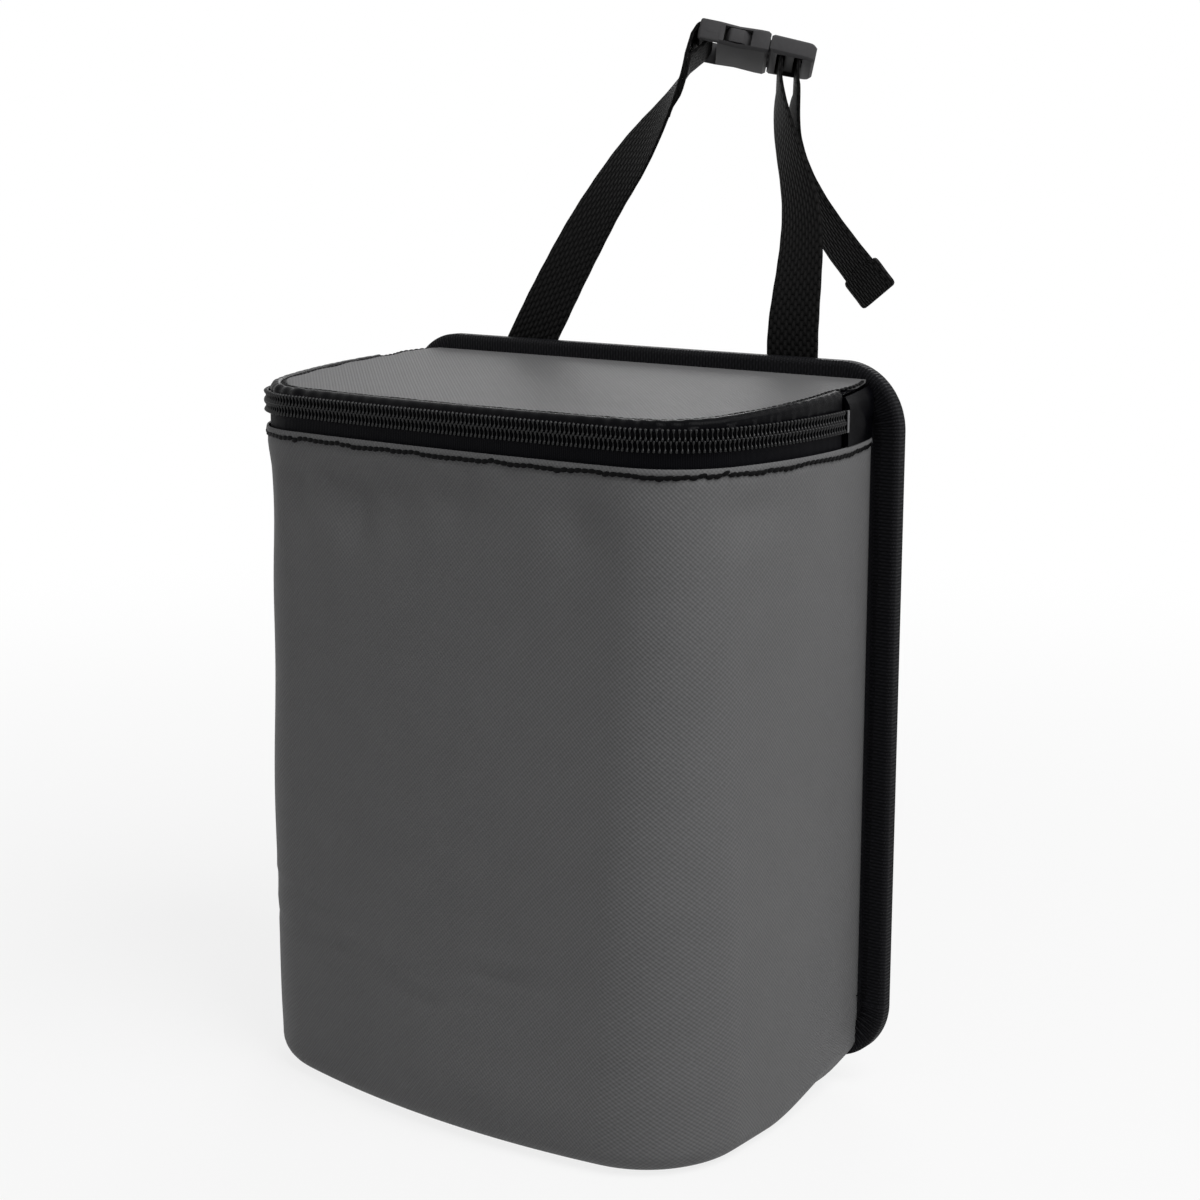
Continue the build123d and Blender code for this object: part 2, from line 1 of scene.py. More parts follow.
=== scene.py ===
# %% [markdown]
# # A soft car bin, piece by piece
# The bin is a cloth bag with a zipped lid, sewn to a stiff back panel that hangs from a headrest.
# The engineering model gives the frame: where each piece sits and what moves. Here every soft piece is
# made again as cloth, webbing or thread, so that it looks sewn and not cut from a block.

# %% Load the frame
import json
from contextlib import contextmanager
from math import acos, asin, atan2, cos, exp, hypot, pi, radians, sin, sqrt, tan

import bpy
import numpy as np
from mathutils import Matrix, Vector

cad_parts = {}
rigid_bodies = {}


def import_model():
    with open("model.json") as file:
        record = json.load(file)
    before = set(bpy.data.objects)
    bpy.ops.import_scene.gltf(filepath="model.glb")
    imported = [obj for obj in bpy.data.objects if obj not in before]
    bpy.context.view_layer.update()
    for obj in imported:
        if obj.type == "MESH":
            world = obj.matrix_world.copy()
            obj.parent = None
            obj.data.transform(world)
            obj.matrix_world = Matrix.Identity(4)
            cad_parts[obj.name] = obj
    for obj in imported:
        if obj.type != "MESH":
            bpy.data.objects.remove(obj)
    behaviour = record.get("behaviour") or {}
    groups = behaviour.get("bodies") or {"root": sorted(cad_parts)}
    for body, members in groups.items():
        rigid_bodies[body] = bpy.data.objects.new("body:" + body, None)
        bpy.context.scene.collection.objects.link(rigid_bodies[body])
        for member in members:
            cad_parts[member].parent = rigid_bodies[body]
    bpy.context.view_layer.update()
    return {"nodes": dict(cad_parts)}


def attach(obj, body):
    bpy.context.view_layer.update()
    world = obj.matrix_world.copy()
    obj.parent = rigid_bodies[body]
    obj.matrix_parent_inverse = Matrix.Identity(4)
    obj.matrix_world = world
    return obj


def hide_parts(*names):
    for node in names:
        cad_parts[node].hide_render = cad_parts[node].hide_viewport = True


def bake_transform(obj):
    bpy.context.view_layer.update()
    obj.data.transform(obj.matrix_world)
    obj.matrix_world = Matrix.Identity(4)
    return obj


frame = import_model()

mm = 0.001

# %% [markdown]
# ## Cutting and shaping cloth
# A sewn piece starts as flat cloth of a known size. A grid stands for that flat piece: its UV map keeps
# the flat size in metres, so a weave has the same scale everywhere, and each grid point is then carried
# to its place on the bag. Thickness comes from a Solidify modifier, as on real cloth, after the shape.


# %% Helpers for sheets
def let_go():
    """Ends edit mode and deselects everything, so that an operator meets only the new piece."""
    if bpy.context.object and bpy.context.object.mode != "OBJECT":
        bpy.ops.object.mode_set(mode="OBJECT")
    bpy.ops.object.select_all(action="DESELECT")


def take(piece):
    """Selects one piece and makes it active."""
    let_go()
    piece.select_set(True)
    bpy.context.view_layer.objects.active = piece


@contextmanager
def edited(piece):
    """Edit mode with all of a piece selected."""
    take(piece)
    bpy.ops.object.mode_set(mode="EDIT")
    bpy.ops.mesh.select_all(action="SELECT")
    yield
    bpy.ops.object.mode_set(mode="OBJECT")


def at(items, share):
    """The item at a share of the way through a list."""
    return items[round(share * (len(items) - 1))]


def spread(width, height):
    """The flat places on a plain rectangle of cloth, in millimetres."""
    return lambda a, b: (a * width, b * height)


def cut_sheet(name, columns, rows, place, flat):
    """A grid of cloth carried to place(a, b); flat(a, b) is its flat place. Both are in millimetres."""
    let_go()
    bpy.ops.mesh.primitive_grid_add(x_subdivisions=columns, y_subdivisions=rows, size=1)
    piece = bpy.context.object
    piece.name = name
    piece.data.name = name
    places = [(round(v.co.x + 0.5, 6), round(v.co.y + 0.5, 6)) for v in piece.data.vertices]
    flats = [flat(a, b) for a, b in places]
    uv = piece.data.uv_layers.active.data
    for loop in piece.data.loops:
        along, up = flats[loop.vertex_index]
        uv[loop.index].uv = (along * mm, up * mm)
    for vertex, (a, b) in zip(piece.data.vertices, places):
        vertex.co = Vector(place(a, b)) * mm
    piece.data.update()
    return piece


def face_towards(piece, look):
    """Turns the sheet so that its faces point along look(centre)."""
    total = sum(face.normal.dot(Vector(look(face.center))) * face.area for face in piece.data.polygons)
    if total < 0:
        with edited(piece):
            bpy.ops.mesh.flip_normals()


def outward(centre):
    """The way out of the bag, for face_towards."""
    return centre.x, centre.y - 0.01, 0


def modify(piece, kind, **settings):
    """Adds a modifier with its settings and applies it."""
    take(piece)
    modifier = piece.modifiers.new(kind.title(), kind)
    for setting, value in settings.items():
        setattr(modifier, setting, value)
    bpy.ops.object.modifier_apply(modifier=modifier.name)


def weld(piece, near=0.02):
    """Merges points that lie on each other, in millimetres."""
    with edited(piece):
        bpy.ops.mesh.remove_doubles(threshold=near * mm)


def join(first, *others):
    """Joins sheets into the first and merges the seam between them."""
    take(first)
    for other in others:
        other.select_set(True)
    bpy.ops.object.join()
    weld(first)
    return first


def smooth(piece, angle=50):
    take(piece)
    bpy.ops.object.shade_smooth_by_angle(angle=radians(angle))


def thicken(piece, thick, angle=50, offset=-1):
    """Gives a sheet its thickness in millimetres, behind its faces, and smooths it."""
    modify(piece, "SOLIDIFY", thickness=thick * mm, offset=offset)
    smooth(piece, angle)


def dress(piece, finish, slot, body, *nodes):
    """Gives a finished piece its material and the body that it moves with; the slot argument is not used.
    """
    piece.data.materials.clear()
    piece.data.materials.append(finish)
    if nodes:
        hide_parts(*nodes)
    if body:
        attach(piece, body)
    triangles = sum(len(face.vertices) - 2 for face in piece.data.polygons)
    print(piece.name, triangles, "triangles")
    return piece


# %% [markdown]
# ## Small things that repeat
# Stitches and zip teeth repeat by the hundred. One is modelled with few faces, and copies of its points
# are set at every place along the seam. The copies stay in one mesh, because a seam is one thread.


# %% Helpers for rows
stitch_turn = 0.25  # radians that a stitch is turned for each millimetre that it is shifted


def unit(vector):
    vector = np.array(vector, float)
    return vector / np.linalg.norm(vector)


def lengths_along(points):
    """The length from the first point of a line to each of its points."""
    return np.concatenate([[0], np.cumsum(np.linalg.norm(np.diff(points, axis=0), axis=1))])


def between(station, run, rows):
    """The row at a station along a run, mixed from the two rows beside it."""
    return np.array([np.interp(station, run, column) for column in rows.T])


def sow(name, seed, places):
    """Copies a small seed to many places; each place is its middle and three directions."""
    points = np.array([vertex.co for vertex in seed.data.vertices], float)
    faces = [list(face.vertices) for face in seed.data.polygons]
    all_points, all_faces = [], []
    for middle, along, across, out in places:
        turn = np.array([along, across, out], float)
        all_faces += [[index + len(all_points) * len(points) for index in face] for face in faces]
        all_points.append(points @ turn + np.array(middle, float) * mm)
    mesh = bpy.data.meshes.new(name)
    mesh.from_pydata(np.concatenate(all_points).tolist(), [], all_faces)
    mesh.update()
    piece = bpy.data.objects.new(name, mesh)
    bpy.context.scene.collection.objects.link(piece)
    smooth(piece, 80)
    return piece


def bead(length, width, height):
    """A rounded bar lying along X, in millimetres, used as a stitch."""
    let_go()
    bpy.ops.mesh.primitive_uv_sphere_add(segments=6, ring_count=5, radius=0.5)
    seed = bpy.context.object
    size = (length * mm, width * mm, height * mm)
    with edited(seed):
        bpy.ops.transform.rotate(value=pi / 2, orient_axis="Y", center_override=(0, 0, 0))
        bpy.ops.transform.resize(value=size, center_override=(0, 0, 0))
    return seed


def seam(name, seed, path, pitch, jitter=0.0, tilt=0.0):
    """Stitches along a path of (point, outward) pairs in millimetres, one every pitch."""
    chance = np.random.default_rng(len(path))
    points = np.array([point for point, out in path], float)
    outs = np.array([out for point, out in path], float)
    run = lengths_along(points)
    places = []
    for station in np.arange(pitch / 2, run[-1], pitch):
        middle = between(station, run, points)
        ahead = between(station + pitch / 3, run, points)
        behind = between(station - pitch / 3, run, points)
        out = unit(between(station, run, outs))
        along = unit(ahead - behind)
        across = np.cross(out, along)
        turn = tilt + jitter * stitch_turn * chance.normal()
        slant = along * cos(turn) + across * sin(turn)
        middle = middle + across * jitter * chance.normal()
        places.append((middle, slant, np.cross(out, slant), out))
    made = sow(name, seed, places)
    print(name, len(places), "stitches, one every", pitch, "mm")
    return made


# %% [markdown]
# ## Shader maths
# A finish is worked out with sums and products of coordinates. The class below wraps one socket, so that
# an expression in Python adds the Math nodes that stand for it; every other node goes through one method.


# %% Wires between nodes
class Wire:
    """A socket in a material; arithmetic on it adds Math nodes."""

    def __init__(self, tree, socket=None):
        self.tree = tree
        self.socket = socket

    def feed(self, socket, value):
        if isinstance(value, Wire):
            self.tree.links.new(value.socket, socket)
        else:
            socket.default_value = value

    def node(self, kind, settings, sockets, out=0):
        """A node of a type with its settings, then the values or links of its sockets."""
        made = self.tree.nodes.new("ShaderNode" + kind)
        for setting, value in settings.items():
            setattr(made, setting, value)
        for name, value in sockets.items():
            self.feed(made.inputs[name], value)
        return Wire(self.tree, made.outputs[out])

    def math(self, operation, *values):
        return self.node("Math", {"operation": operation}, dict(enumerate(values)))

    def __add__(self, other):
        return self.math("ADD", self, other)

    __radd__ = __add__

    def __sub__(self, other):
        return self.math("SUBTRACT", self, other)

    def __rsub__(self, other):
        return self.math("SUBTRACT", other, self)

    def __mul__(self, other):
        return self.math("MULTIPLY", self, other)

    __rmul__ = __mul__

    def __pow__(self, other):
        return self.math("POWER", self, other)

    def __abs__(self):
        return self.math("ABSOLUTE", self)

    def sine(self, period):
        """A wave between -1 and 1 that repeats every period, in the socket's own unit."""
        return self.math("SINE", self * (2 * pi / period))

    def steps(self, size):
        return self.math("FLOOR", self * (1 / size))

    def odd(self):
        """0 or 1 by turns over whole numbers."""
        return self.math("FLOORED_MODULO", self, 2.0)

    def blend(self, first, second):
        """A colour between two, by this value from 0 to 1."""
        settings = {"data_type": "RGBA", "clamp_factor": True}
        return self.node("Mix", settings, {0: self, 6: first, 7: second}, out=2)


def start_finish(name, source="UV"):
    """A new material: its wire, its shader node and the two flat coordinates of the cloth."""
    finish = bpy.data.materials.new(name)
    finish.use_nodes = True
    shader = finish.node_tree.nodes["Principled BSDF"]
    wire = Wire(finish.node_tree)
    place = wire.node("TexCoord", {}, {}, out=source)
    along = wire.node("SeparateXYZ", {}, {0: place}, out=0)
    up = wire.node("SeparateXYZ", {}, {0: place}, out=1)
    return finish, shader, wire, place, along, up


def grain(wire, place, scale, detail):
    """Soft noise from 0 to 1; scale is in features per metre."""
    sockets = {"Vector": place, "Scale": scale, "Detail": detail, "Roughness": 0.5}
    return wire.node("TexNoise", {"noise_dimensions": "3D"}, sockets)


def raise_by(wire, shader, height, depth):
    """Sends a height from 0 to 1 to the shader's normal; depth is in millimetres."""
    bump = wire.node("Bump", {}, {"Height": height, "Distance": depth * mm, "Strength": 1.0})
    wire.feed(shader.inputs["Normal"], bump)


# %% [markdown]
# ## Grey cloth
# The bag is a coated polyester: a plain basket weave whose yarns, about 0.9 mm wide, catch the light in
# short diagonal flecks. Two crossed waves give the yarns, a third along the diagonal gives the flecks,
# and this relief is also painted into the colour: a painted highlight on the raised yarns and painted
# shade between them. Soft noise keeps the colour from looking printed.


# %% Cloth finishes
def woven_finish(name, dark, light, yarn, roughness, depth, sheen, gloss):
    finish, shader, wire, place, along, up = start_finish(name)
    pitch = yarn * mm
    painted_glint = 0.8
    warp = along.sine(2 * pitch)
    weft = up.sine(2 * pitch)
    slope = (along + up).sine(4 * pitch)
    height = 0.5 + 0.32 * warp * weft + 0.05 * slope + 0.08 * (along - up).sine(2 * pitch)
    mottle = grain(wire, place, 55.0, 3.0)
    fine = grain(wire, place, 900.0, 1.0)
    # painted highlight and shade: the colour is lighter on the raised yarns and darker between them
    tone = 0.2 * mottle + 0.4 * fine + painted_glint * (height - 0.5) + 0.195
    wire.feed(shader.inputs["Base Color"], tone.blend((*dark, 1), (*light, 1)))
    wire.feed(shader.inputs["Roughness"], roughness + 0.1 * (fine - 0.5))
    shader.inputs["Specular IOR Level"].default_value = gloss
    shader.inputs["Sheen Weight"].default_value = sheen
    shader.inputs["Sheen Roughness"].default_value = 0.45
    raise_by(wire, shader, height + 0.2 * fine, depth)
    return finish


grey_cloth = woven_finish(
    "grey_cloth", (0.098, 0.098, 0.1), (0.178, 0.178, 0.18),
    yarn=0.9, roughness=0.62, depth=0.22, sheen=0.05, gloss=0.12,
)
black_cloth = woven_finish(
    "black_cloth", (0.004, 0.004, 0.005), (0.022, 0.022, 0.025),
    yarn=0.9, roughness=0.72, depth=0.2, sheen=0.02, gloss=0.05,
)
print("cloth finishes", grey_cloth.name, black_cloth.name)

# %% [markdown]
# ## Webbing, binding and tape
# Strap webbing shows rows of short dashes, staggered like bricks. The binding is a ribbed tape: fine ribs
# run across it with a row of dots along each rib. The zip tape is a finer version of the same weave. In
# all of them the raised tops are painted lighter and the hollows darker, as painted highlight and shade.


# %% Narrow-ware finishes
def webbing_finish(name):
    finish, shader, wire, place, along, up = start_finish(name)
    lane_width, dash_length = 1.9 * mm, 4.2 * mm
    dark, light = (0.0012, 0.0012, 0.0012, 1), (0.0145, 0.014, 0.014, 1)
    row = up.steps(lane_width)
    shift = along + row.odd() * (dash_length / 2)
    lane = abs(up.math("SINE", up * (pi / lane_width)))
    dash = abs(shift.math("SINE", shift * (pi / dash_length)))
    height = (lane ** 0.7) * (dash ** 0.6)
    fine = grain(wire, place, 1500.0, 1.0)
    # painted highlight and shade: the dash tops are painted lighter, the hollows between them darker
    tone = 0.9 * height ** 2.0 + 0.3 * fine - 0.1
    wire.feed(shader.inputs["Base Color"], tone.blend(dark, light))
    wire.feed(shader.inputs["Roughness"], 0.72 - 0.22 * height)
    shader.inputs["Specular IOR Level"].default_value = 0.06
    raise_by(wire, shader, height + 0.15 * fine, 0.6)
    return finish


def ribbed_finish(name, rib, dot, dark, light, roughness, depth, gloss):
    finish, shader, wire, place, along, up = start_finish(name)
    ribs = 0.5 + 0.5 * along.sine(rib * mm)
    dots = 0.5 + 0.5 * (up + along.steps(rib * mm).odd() * (0.5 * dot * mm)).sine(dot * mm)
    fine = grain(wire, place, 1400.0, 1.0)
    height = 0.6 * ribs + 0.4 * ribs * dots
    # painted highlight and shade: rib and dot tops are painted lighter, the hollows between them darker
    tone = 0.7 * height + 0.4 * fine - 0.15
    wire.feed(shader.inputs["Base Color"], tone.blend((*dark, 1), (*light, 1)))
    wire.feed(shader.inputs["Roughness"], roughness - 0.2 * height)
    shader.inputs["Specular IOR Level"].default_value = gloss
    raise_by(wire, shader, height + 0.12 * fine, depth)
    return finish


webbing_black = webbing_finish("webbing_black")
binding_black = ribbed_finish(
    "binding_black", 1.5, 1.9, (0.0015, 0.0015, 0.002), (0.0165, 0.0165, 0.0195),
    roughness=0.66, depth=0.4, gloss=0.08,
)
tape_black = ribbed_finish(
    "tape_black", 0.8, 1.1, (0.0012, 0.0012, 0.0018), (0.006, 0.006, 0.008),
    roughness=0.66, depth=0.14, gloss=0.04,
)
satin_black = ribbed_finish(
    "satin_black", 0.5, 2.6, (0.001, 0.001, 0.0016), (0.003, 0.003, 0.0042),
    roughness=0.36, depth=0.05, gloss=0.04,
)
print("narrow finishes", webbing_black.name, binding_black.name, tape_black.name, satin_black.name)

# %% [markdown]
# ## Moulded, cast and plain finishes
# The coil teeth and the buckle are moulded plastic, the slider is painted die-cast metal, the end stop is
# bright wire. The liner is a thin waterproof film. The boards and the foam are hidden inside.


# %% Hard finishes
def hard_finish(name, dark, light, roughness, depth, metal=0.0, scale=600.0, coat=0.0, gloss=0.5):
    finish, shader, wire, place, along, up = start_finish(name, "Object")
    fine = grain(wire, place, scale, 3.0)
    broad = grain(wire, place, 45.0, 2.0)
    tone = 0.6 * fine + 0.4 * broad
    wire.feed(shader.inputs["Base Color"], tone.blend((*dark, 1), (*light, 1)))
    wire.feed(shader.inputs["Roughness"], roughness + 0.16 * (broad - 0.5) + 0.08 * (fine - 0.5))
    shader.inputs["Metallic"].default_value = metal
    shader.inputs["Specular IOR Level"].default_value = gloss
    shader.inputs["Coat Weight"].default_value = coat
    shader.inputs["Coat Roughness"].default_value = 0.2
    raise_by(wire, shader, fine, depth)
    return finish


coil_black = hard_finish(
    "coil_black", (0.001, 0.001, 0.0015), (0.003, 0.003, 0.004), roughness=0.14, depth=0.01, gloss=0.28
)
buckle_plastic = hard_finish(
    "buckle_plastic", (0.055, 0.054, 0.056), (0.075, 0.074, 0.076),
    roughness=0.42, depth=0.03, gloss=0.025,
)
thread_black = hard_finish(
    "thread_black", (0.0012, 0.0012, 0.0014), (0.004, 0.004, 0.0045),
    roughness=0.6, depth=0.05, scale=2500.0, gloss=0.06,
)
painted_metal = hard_finish(
    "painted_metal", (0.012, 0.012, 0.013), (0.026, 0.026, 0.028),
    roughness=0.3, depth=0.01, metal=0.2, coat=0.4,
)
bright_metal = hard_finish(
    "bright_metal", (0.1, 0.1, 0.103), (0.16, 0.16, 0.165), roughness=0.24, depth=0.01, metal=1.0
)
liner_film = hard_finish(
    "liner_film", (0.03, 0.03, 0.032), (0.05, 0.05, 0.053),
    roughness=0.42, depth=0.08, scale=160.0, gloss=0.3,
)
board_grey = hard_finish(
    "board_grey", (0.2, 0.19, 0.18), (0.27, 0.26, 0.25), roughness=0.8, depth=0.05, gloss=0.2
)
foam_white = hard_finish(
    "foam_white", (0.55, 0.55, 0.53), (0.7, 0.7, 0.68),
    roughness=0.9, depth=0.15, scale=900.0, gloss=0.1,
)
print("hard finishes", len(bpy.data.materials), "materials in all")

# %% [markdown]
# ## The plan of the bag
# From above the bag is a D: a straight back, gently bowed sides, rounded corners and a shallow bowed
# front. Each is an arc, so a place on the outline is an arc's centre plus its radius. The outline is
# wider and flatter at the rim than at the base, and a wall point blends the two by its height.

# %% Outline of the bag
panel_front = 72.75
sewn_gap = 0.1
bag_rear = panel_front - sewn_gap
base_plan = dict(half=119.0, bulge=0.8, depth=145.5, corner=48.0, front=445.0)
rim_plan = dict(half=119.0, bulge=8.5, depth=132.0, corner=38.0, front=1300.0)
widest_ahead = 53.0
base_round = 10.0
rim_height = 284.0


def plan_arcs(plan, inset, rear):
    """The three arcs of the right half, as centre, radius, first and last angle."""
    side_radius = (widest_ahead**2 + plan["bulge"] ** 2) / (2 * plan["bulge"])
    side = np.array([plan["half"] + plan["bulge"] - side_radius, panel_front - widest_ahead])
    front = np.array([0.0, panel_front - plan["depth"] + plan["front"]])
    apart = front - side
    distance = hypot(*apart)
    side_reach = side_radius - plan["corner"]
    front_reach = plan["front"] - plan["corner"]
    ahead = (side_reach**2 - front_reach**2 + distance**2) / (2 * distance)
    aside = sqrt(side_reach**2 - ahead**2)
    step = apart / distance
    corner = side + step * ahead + np.array([step[1], -step[0]]) * aside
    back_angle = asin((rear - side[1]) / (side_radius - inset))
    side_angle = atan2(*(corner - side)[::-1])
    front_angle = atan2(*(corner - front)[::-1])
    return [
        (side, side_radius - inset, back_angle, side_angle),
        (corner, plan["corner"] - inset, side_angle, front_angle),
        (front, plan["front"] - inset, front_angle, -pi / 2),
    ]


shares = [abs(last - first) * radius for centre, radius, first, last in plan_arcs(rim_plan, 0, bag_rear)]
rim_length = 2 * sum(shares)
ends = np.cumsum(shares) / sum(shares)
arc_cache = {}


def outline(plan, inset, rear, u):
    """A point of the outline and its outward direction; u is 0 at the right back, 1 at the left."""
    key = (plan["bulge"], round(inset, 4), round(rear, 4))
    if key not in arc_cache:
        arc_cache[key] = plan_arcs(plan, inset, rear)
    half = 2 * u if u <= 0.5 else 2 * (1 - u)
    index = min(int(np.searchsorted(ends, half)), 2)
    first_share = ends[index - 1] if index else 0.0
    part = (half - first_share) / (ends[index] - first_share)
    centre, radius, first, last = arc_cache[key][index]
    angle = first + (last - first) * part
    out = np.array([cos(angle), sin(angle)])
    point = centre + out * radius
    if u > 0.5:
        return np.array([-point[0], point[1]]), np.array([-out[0], out[1]])
    return point, out


def wall(u, z, inset=0.0, rear=bag_rear):
    """A point of the bag's outer wall at a height, and the direction out of the cloth."""
    if z < base_round:
        turn = acos(1 - z / base_round)
        side = base_round * (1 - sin(turn))
        point, out = outline(base_plan, inset + side, rear - side, u)
        return np.array([*point, z]), np.array([*(out * sin(turn)), -cos(turn)])
    part = min((z - base_round) / (rim_height - base_round), 1.0)
    low, low_out = outline(base_plan, inset, rear, u)
    high, high_out = outline(rim_plan, inset, rear, u)
    out = low_out * (1 - part) + high_out * part
    return np.array([*(low * (1 - part) + high * part), z]), np.array([*(out / hypot(*out)), 0.0])


print("the rim is", round(rim_length), "mm round, without the back")

# %% [markdown]
# ## How the cloth gives
# The wall is cloth over thin foam, so it isn't a true curve. It has slow waves, soft dents below the top
# seam where the zip pulls it, and a few faint creases from being folded flat. These are sums of smooth
# bumps, fading out where a seam holds the cloth.

# %% Softness of the wall
# A dent: its share of the way round, height, width, tallness and depth; below 0 it stands out.
dents = [
    (0.555, 262.0, 13.0, 15.0, 1.5),
    (0.6, 258.0, 11.0, 18.0, 2.2),
    (0.635, 264.0, 10.0, 13.0, 1.7),
    (0.68, 259.0, 12.0, 18.0, 1.9),
    (0.49, 264.0, 15.0, 12.0, 1.0),
    (0.73, 250.0, 11.0, 26.0, 0.6),
    (0.36, 262.0, 12.0, 14.0, 1.1),
    (0.2, 266.0, 22.0, 11.0, 0.8),
    (0.1, 150.0, 30.0, 60.0, 0.9),
    (0.56, 120.0, 60.0, 70.0, -0.9),
    (0.5, 22.0, 75.0, 38.0, -1.5),
]
dent_strength = 2.5
# A crease: its share of the way round, height, reach and slope.
creases = [(0.6, 66.0, 60.0, 0.03), (0.53, 58.0, 45.0, -0.02)]
creases += [(0.66, 82.0, 30.0, 0.06), (0.42, 73.0, 26.0, -0.1)]
crease_depth, crease_ridge = 0.9, 0.65
corner_lift = 12.0


def ease_in(value, start, end):
    part = min(max((value - start) / (end - start), 0.0), 1.0)
    return part * part * (3 - 2 * part)


def give(u, z):
    """How far the cloth stands out from its true form, in millimetres."""
    run = u * rim_length
    height = 0.5 * sin(run / 58 + z / 51) + 0.35 * sin(run / 33 - z / 27 + 1.3)
    height += 0.2 * sin(run / 19 + z / 15)
    for place, level, width, tall, depth in dents:
        off = (run - place * rim_length) / width
        height -= dent_strength * depth * exp(-(off**2) - ((z - level) / tall) ** 2)
    for place, level, reach, slope in creases:
        off = run - place * rim_length
        line = level + slope * off + 1.2 * sin(off / 9)
        height -= crease_depth * exp(-(((z - line) / 2.2) ** 2) - (off / reach) ** 2)
        height += crease_ridge * exp(-(((z - line - 5) / 3.0) ** 2) - (off / reach) ** 2)
    held = ease_in(z, 2, 26) * (1 - ease_in(z, 264, 281)) * ease_in(min(u, 1 - u), 0.0, 0.05)
    ripple = 0.25 * sin(run / 4.6 + sin(run / 17)) * ease_in(z, 264, 278) * (1 - ease_in(z, 279, 281))
    return held * height + ripple * ease_in(min(u, 1 - u), 0.0, 0.03)


def tucked(point):
    """Lifts the bottom edge at the rear corners, where the seam to the back panel draws it up."""
    x, y, z = point
    lift = ease_in(abs(x), 103.0, 119.0) * ease_in(y, 5.0, 70.0) * (1 - ease_in(z, 0.0, 45.0))
    return x, y, z + corner_lift * lift


print("deepest dent", dent_strength * max(dent[4] for dent in dents), "mm")

# %% [markdown]
# ## Body of the bag
# One piece of grey cloth wraps the sides and the front, turns under at the bottom and ends in a folded
# hem at the rim. A box with a bevel would look moulded. Here the grid's rows follow the cloth's profile
# from the turned-under edge to the hem, and its columns go round the outline.

# %% Body cloth
cloth = 0.8
turned_in = 13.0
hem_foot = 280.4
hem_step = 0.5
# A row of the cloth: how far it steps in from the wall, and its height.
profile = [(turned_in - k, 0.0) for k in range(3)]
profile += [(None, base_round * (1 - cos(pi / 2 * k / 8))) for k in range(8)]
edge_rows = len(profile)
profile += [(None, base_round + (hem_foot - base_round) * k / 76) for k in range(77)]
profile += [(0.35, 281.0), (-hem_step, 281.5), (-hem_step - 0.15, 282.4)]
profile += [(-hem_step, 283.4), (-0.2, rim_height)]


def body_place(a, b):
    step, z = at(profile, b)
    if z == 0 and step is not None:
        point, out = outline(base_plan, step, bag_rear - step, a)
        return tucked((*point, 0.0))
    point, out = wall(a, z)
    return tucked(point + out * (give(a, z) - (step or 0.0)))


def body_flat(a, b):
    return a * rim_length, at(profile, b)[1]


def body_back(a, b):
    """The rounded edge under the back, between the two ends of the wrap."""
    step, z = at(profile[: edge_rows + 1], b)
    if z == 0 and step is not None:
        right = np.array([*outline(base_plan, step, bag_rear - step, 0.0)[0], 0.0])
    else:
        right = wall(0.0, z)[0]
    return tucked((right[0] * (1 - 2 * a), right[1], right[2]))


body = cut_sheet("bag_body", 264, len(profile) - 1, body_place, body_flat)
back_edge = cut_sheet("bag_back_edge", 60, edge_rows, body_back, spread(238, 20))
face_towards(body, outward)
face_towards(back_edge, lambda c: (0, 1, -1))
join(body, back_edge)
thicken(body, cloth, 60)
dress(body, grey_cloth, "grey_cloth", "bag", "body_panel")

# %% [markdown]
# ## Topstitching round the rim
# A black thread holds the hem down, a few millimetres under the zip. On thick cloth it wanders a
# little, so each stitch is turned and shifted by a small seeded amount.

# %% Hem stitches
hem_level = 281.1
hem_line = []
for k in range(400):
    u = 0.004 + 0.992 * k / 399
    point, out = wall(u, hem_level)
    wander = 0.3 * sin(u * 61) + 0.2 * sin(u * 143 + 1)
    hem_line.append((point + out * 0.3 + np.array([0, 0, wander]), out))
hem_seam = seam("hem_topstitch", bead(4.2, 2.3, 1.4), hem_line, 3.2, 0.18, 0.16)
dress(hem_seam, thread_black, None, "bag")

# %% [markdown]
# ## Sheets in the shape of the plan
# The bottom, the lid and its lining share the D outline. Such a sheet is a fan of rings, from its edge
# to a point in the middle; the rings are close together at the edge, where a seam or a roll shows.


# %% Sheets of the plan
back_share = 0.2
wrap_share = 1 - back_share


def closed_outline(plan, inset, rear, a):
    """The whole outline, a from 0 to 1: the D up to the wrap's share, then the straight back."""
    if a <= wrap_share:
        return outline(plan, inset, rear, a / wrap_share)[0]
    right = outline(plan, inset, rear, 0.0)[0]
    part = (a - wrap_share) / back_share
    return np.array([-right[0] * (1 - 2 * part), right[1]])


def plan_sheet(name, plan, rings, rear, lift, columns=300):
    """A fan of rings; up to 100 a ring is an inset, above it the excess is percent of the way in."""
    middle = np.array([0.0, panel_front - plan["depth"] / 2])

    def place(a, b):
        ring = at(rings, b)
        if ring <= 100:
            point = closed_outline(plan, ring, rear - (ring - rings[0]), a)
        else:
            edge = closed_outline(plan, rings[0], rear, a)
            point = edge + (middle - edge) * min((ring - 100) / 100, 0.999)
        return lift(point[0], point[1], a, ring)

    piece = cut_sheet(name, columns, len(rings) - 1, place, lambda a, b: place(a, b)[:2])
    weld(piece)
    return piece


# %% Bottom panel
bottom_inset = 13.1
bottom_rings = [bottom_inset, 14.0, 15.5, 110, 125, 140, 160, 180, 200]


def bottom_lift(x, y, a, ring):
    sag = 0.3 * ease_in(ring, bottom_inset, 15.5) * (0.6 + 0.4 * sin(x / 13) * sin(y / 17))
    return tucked((x, y, sag))


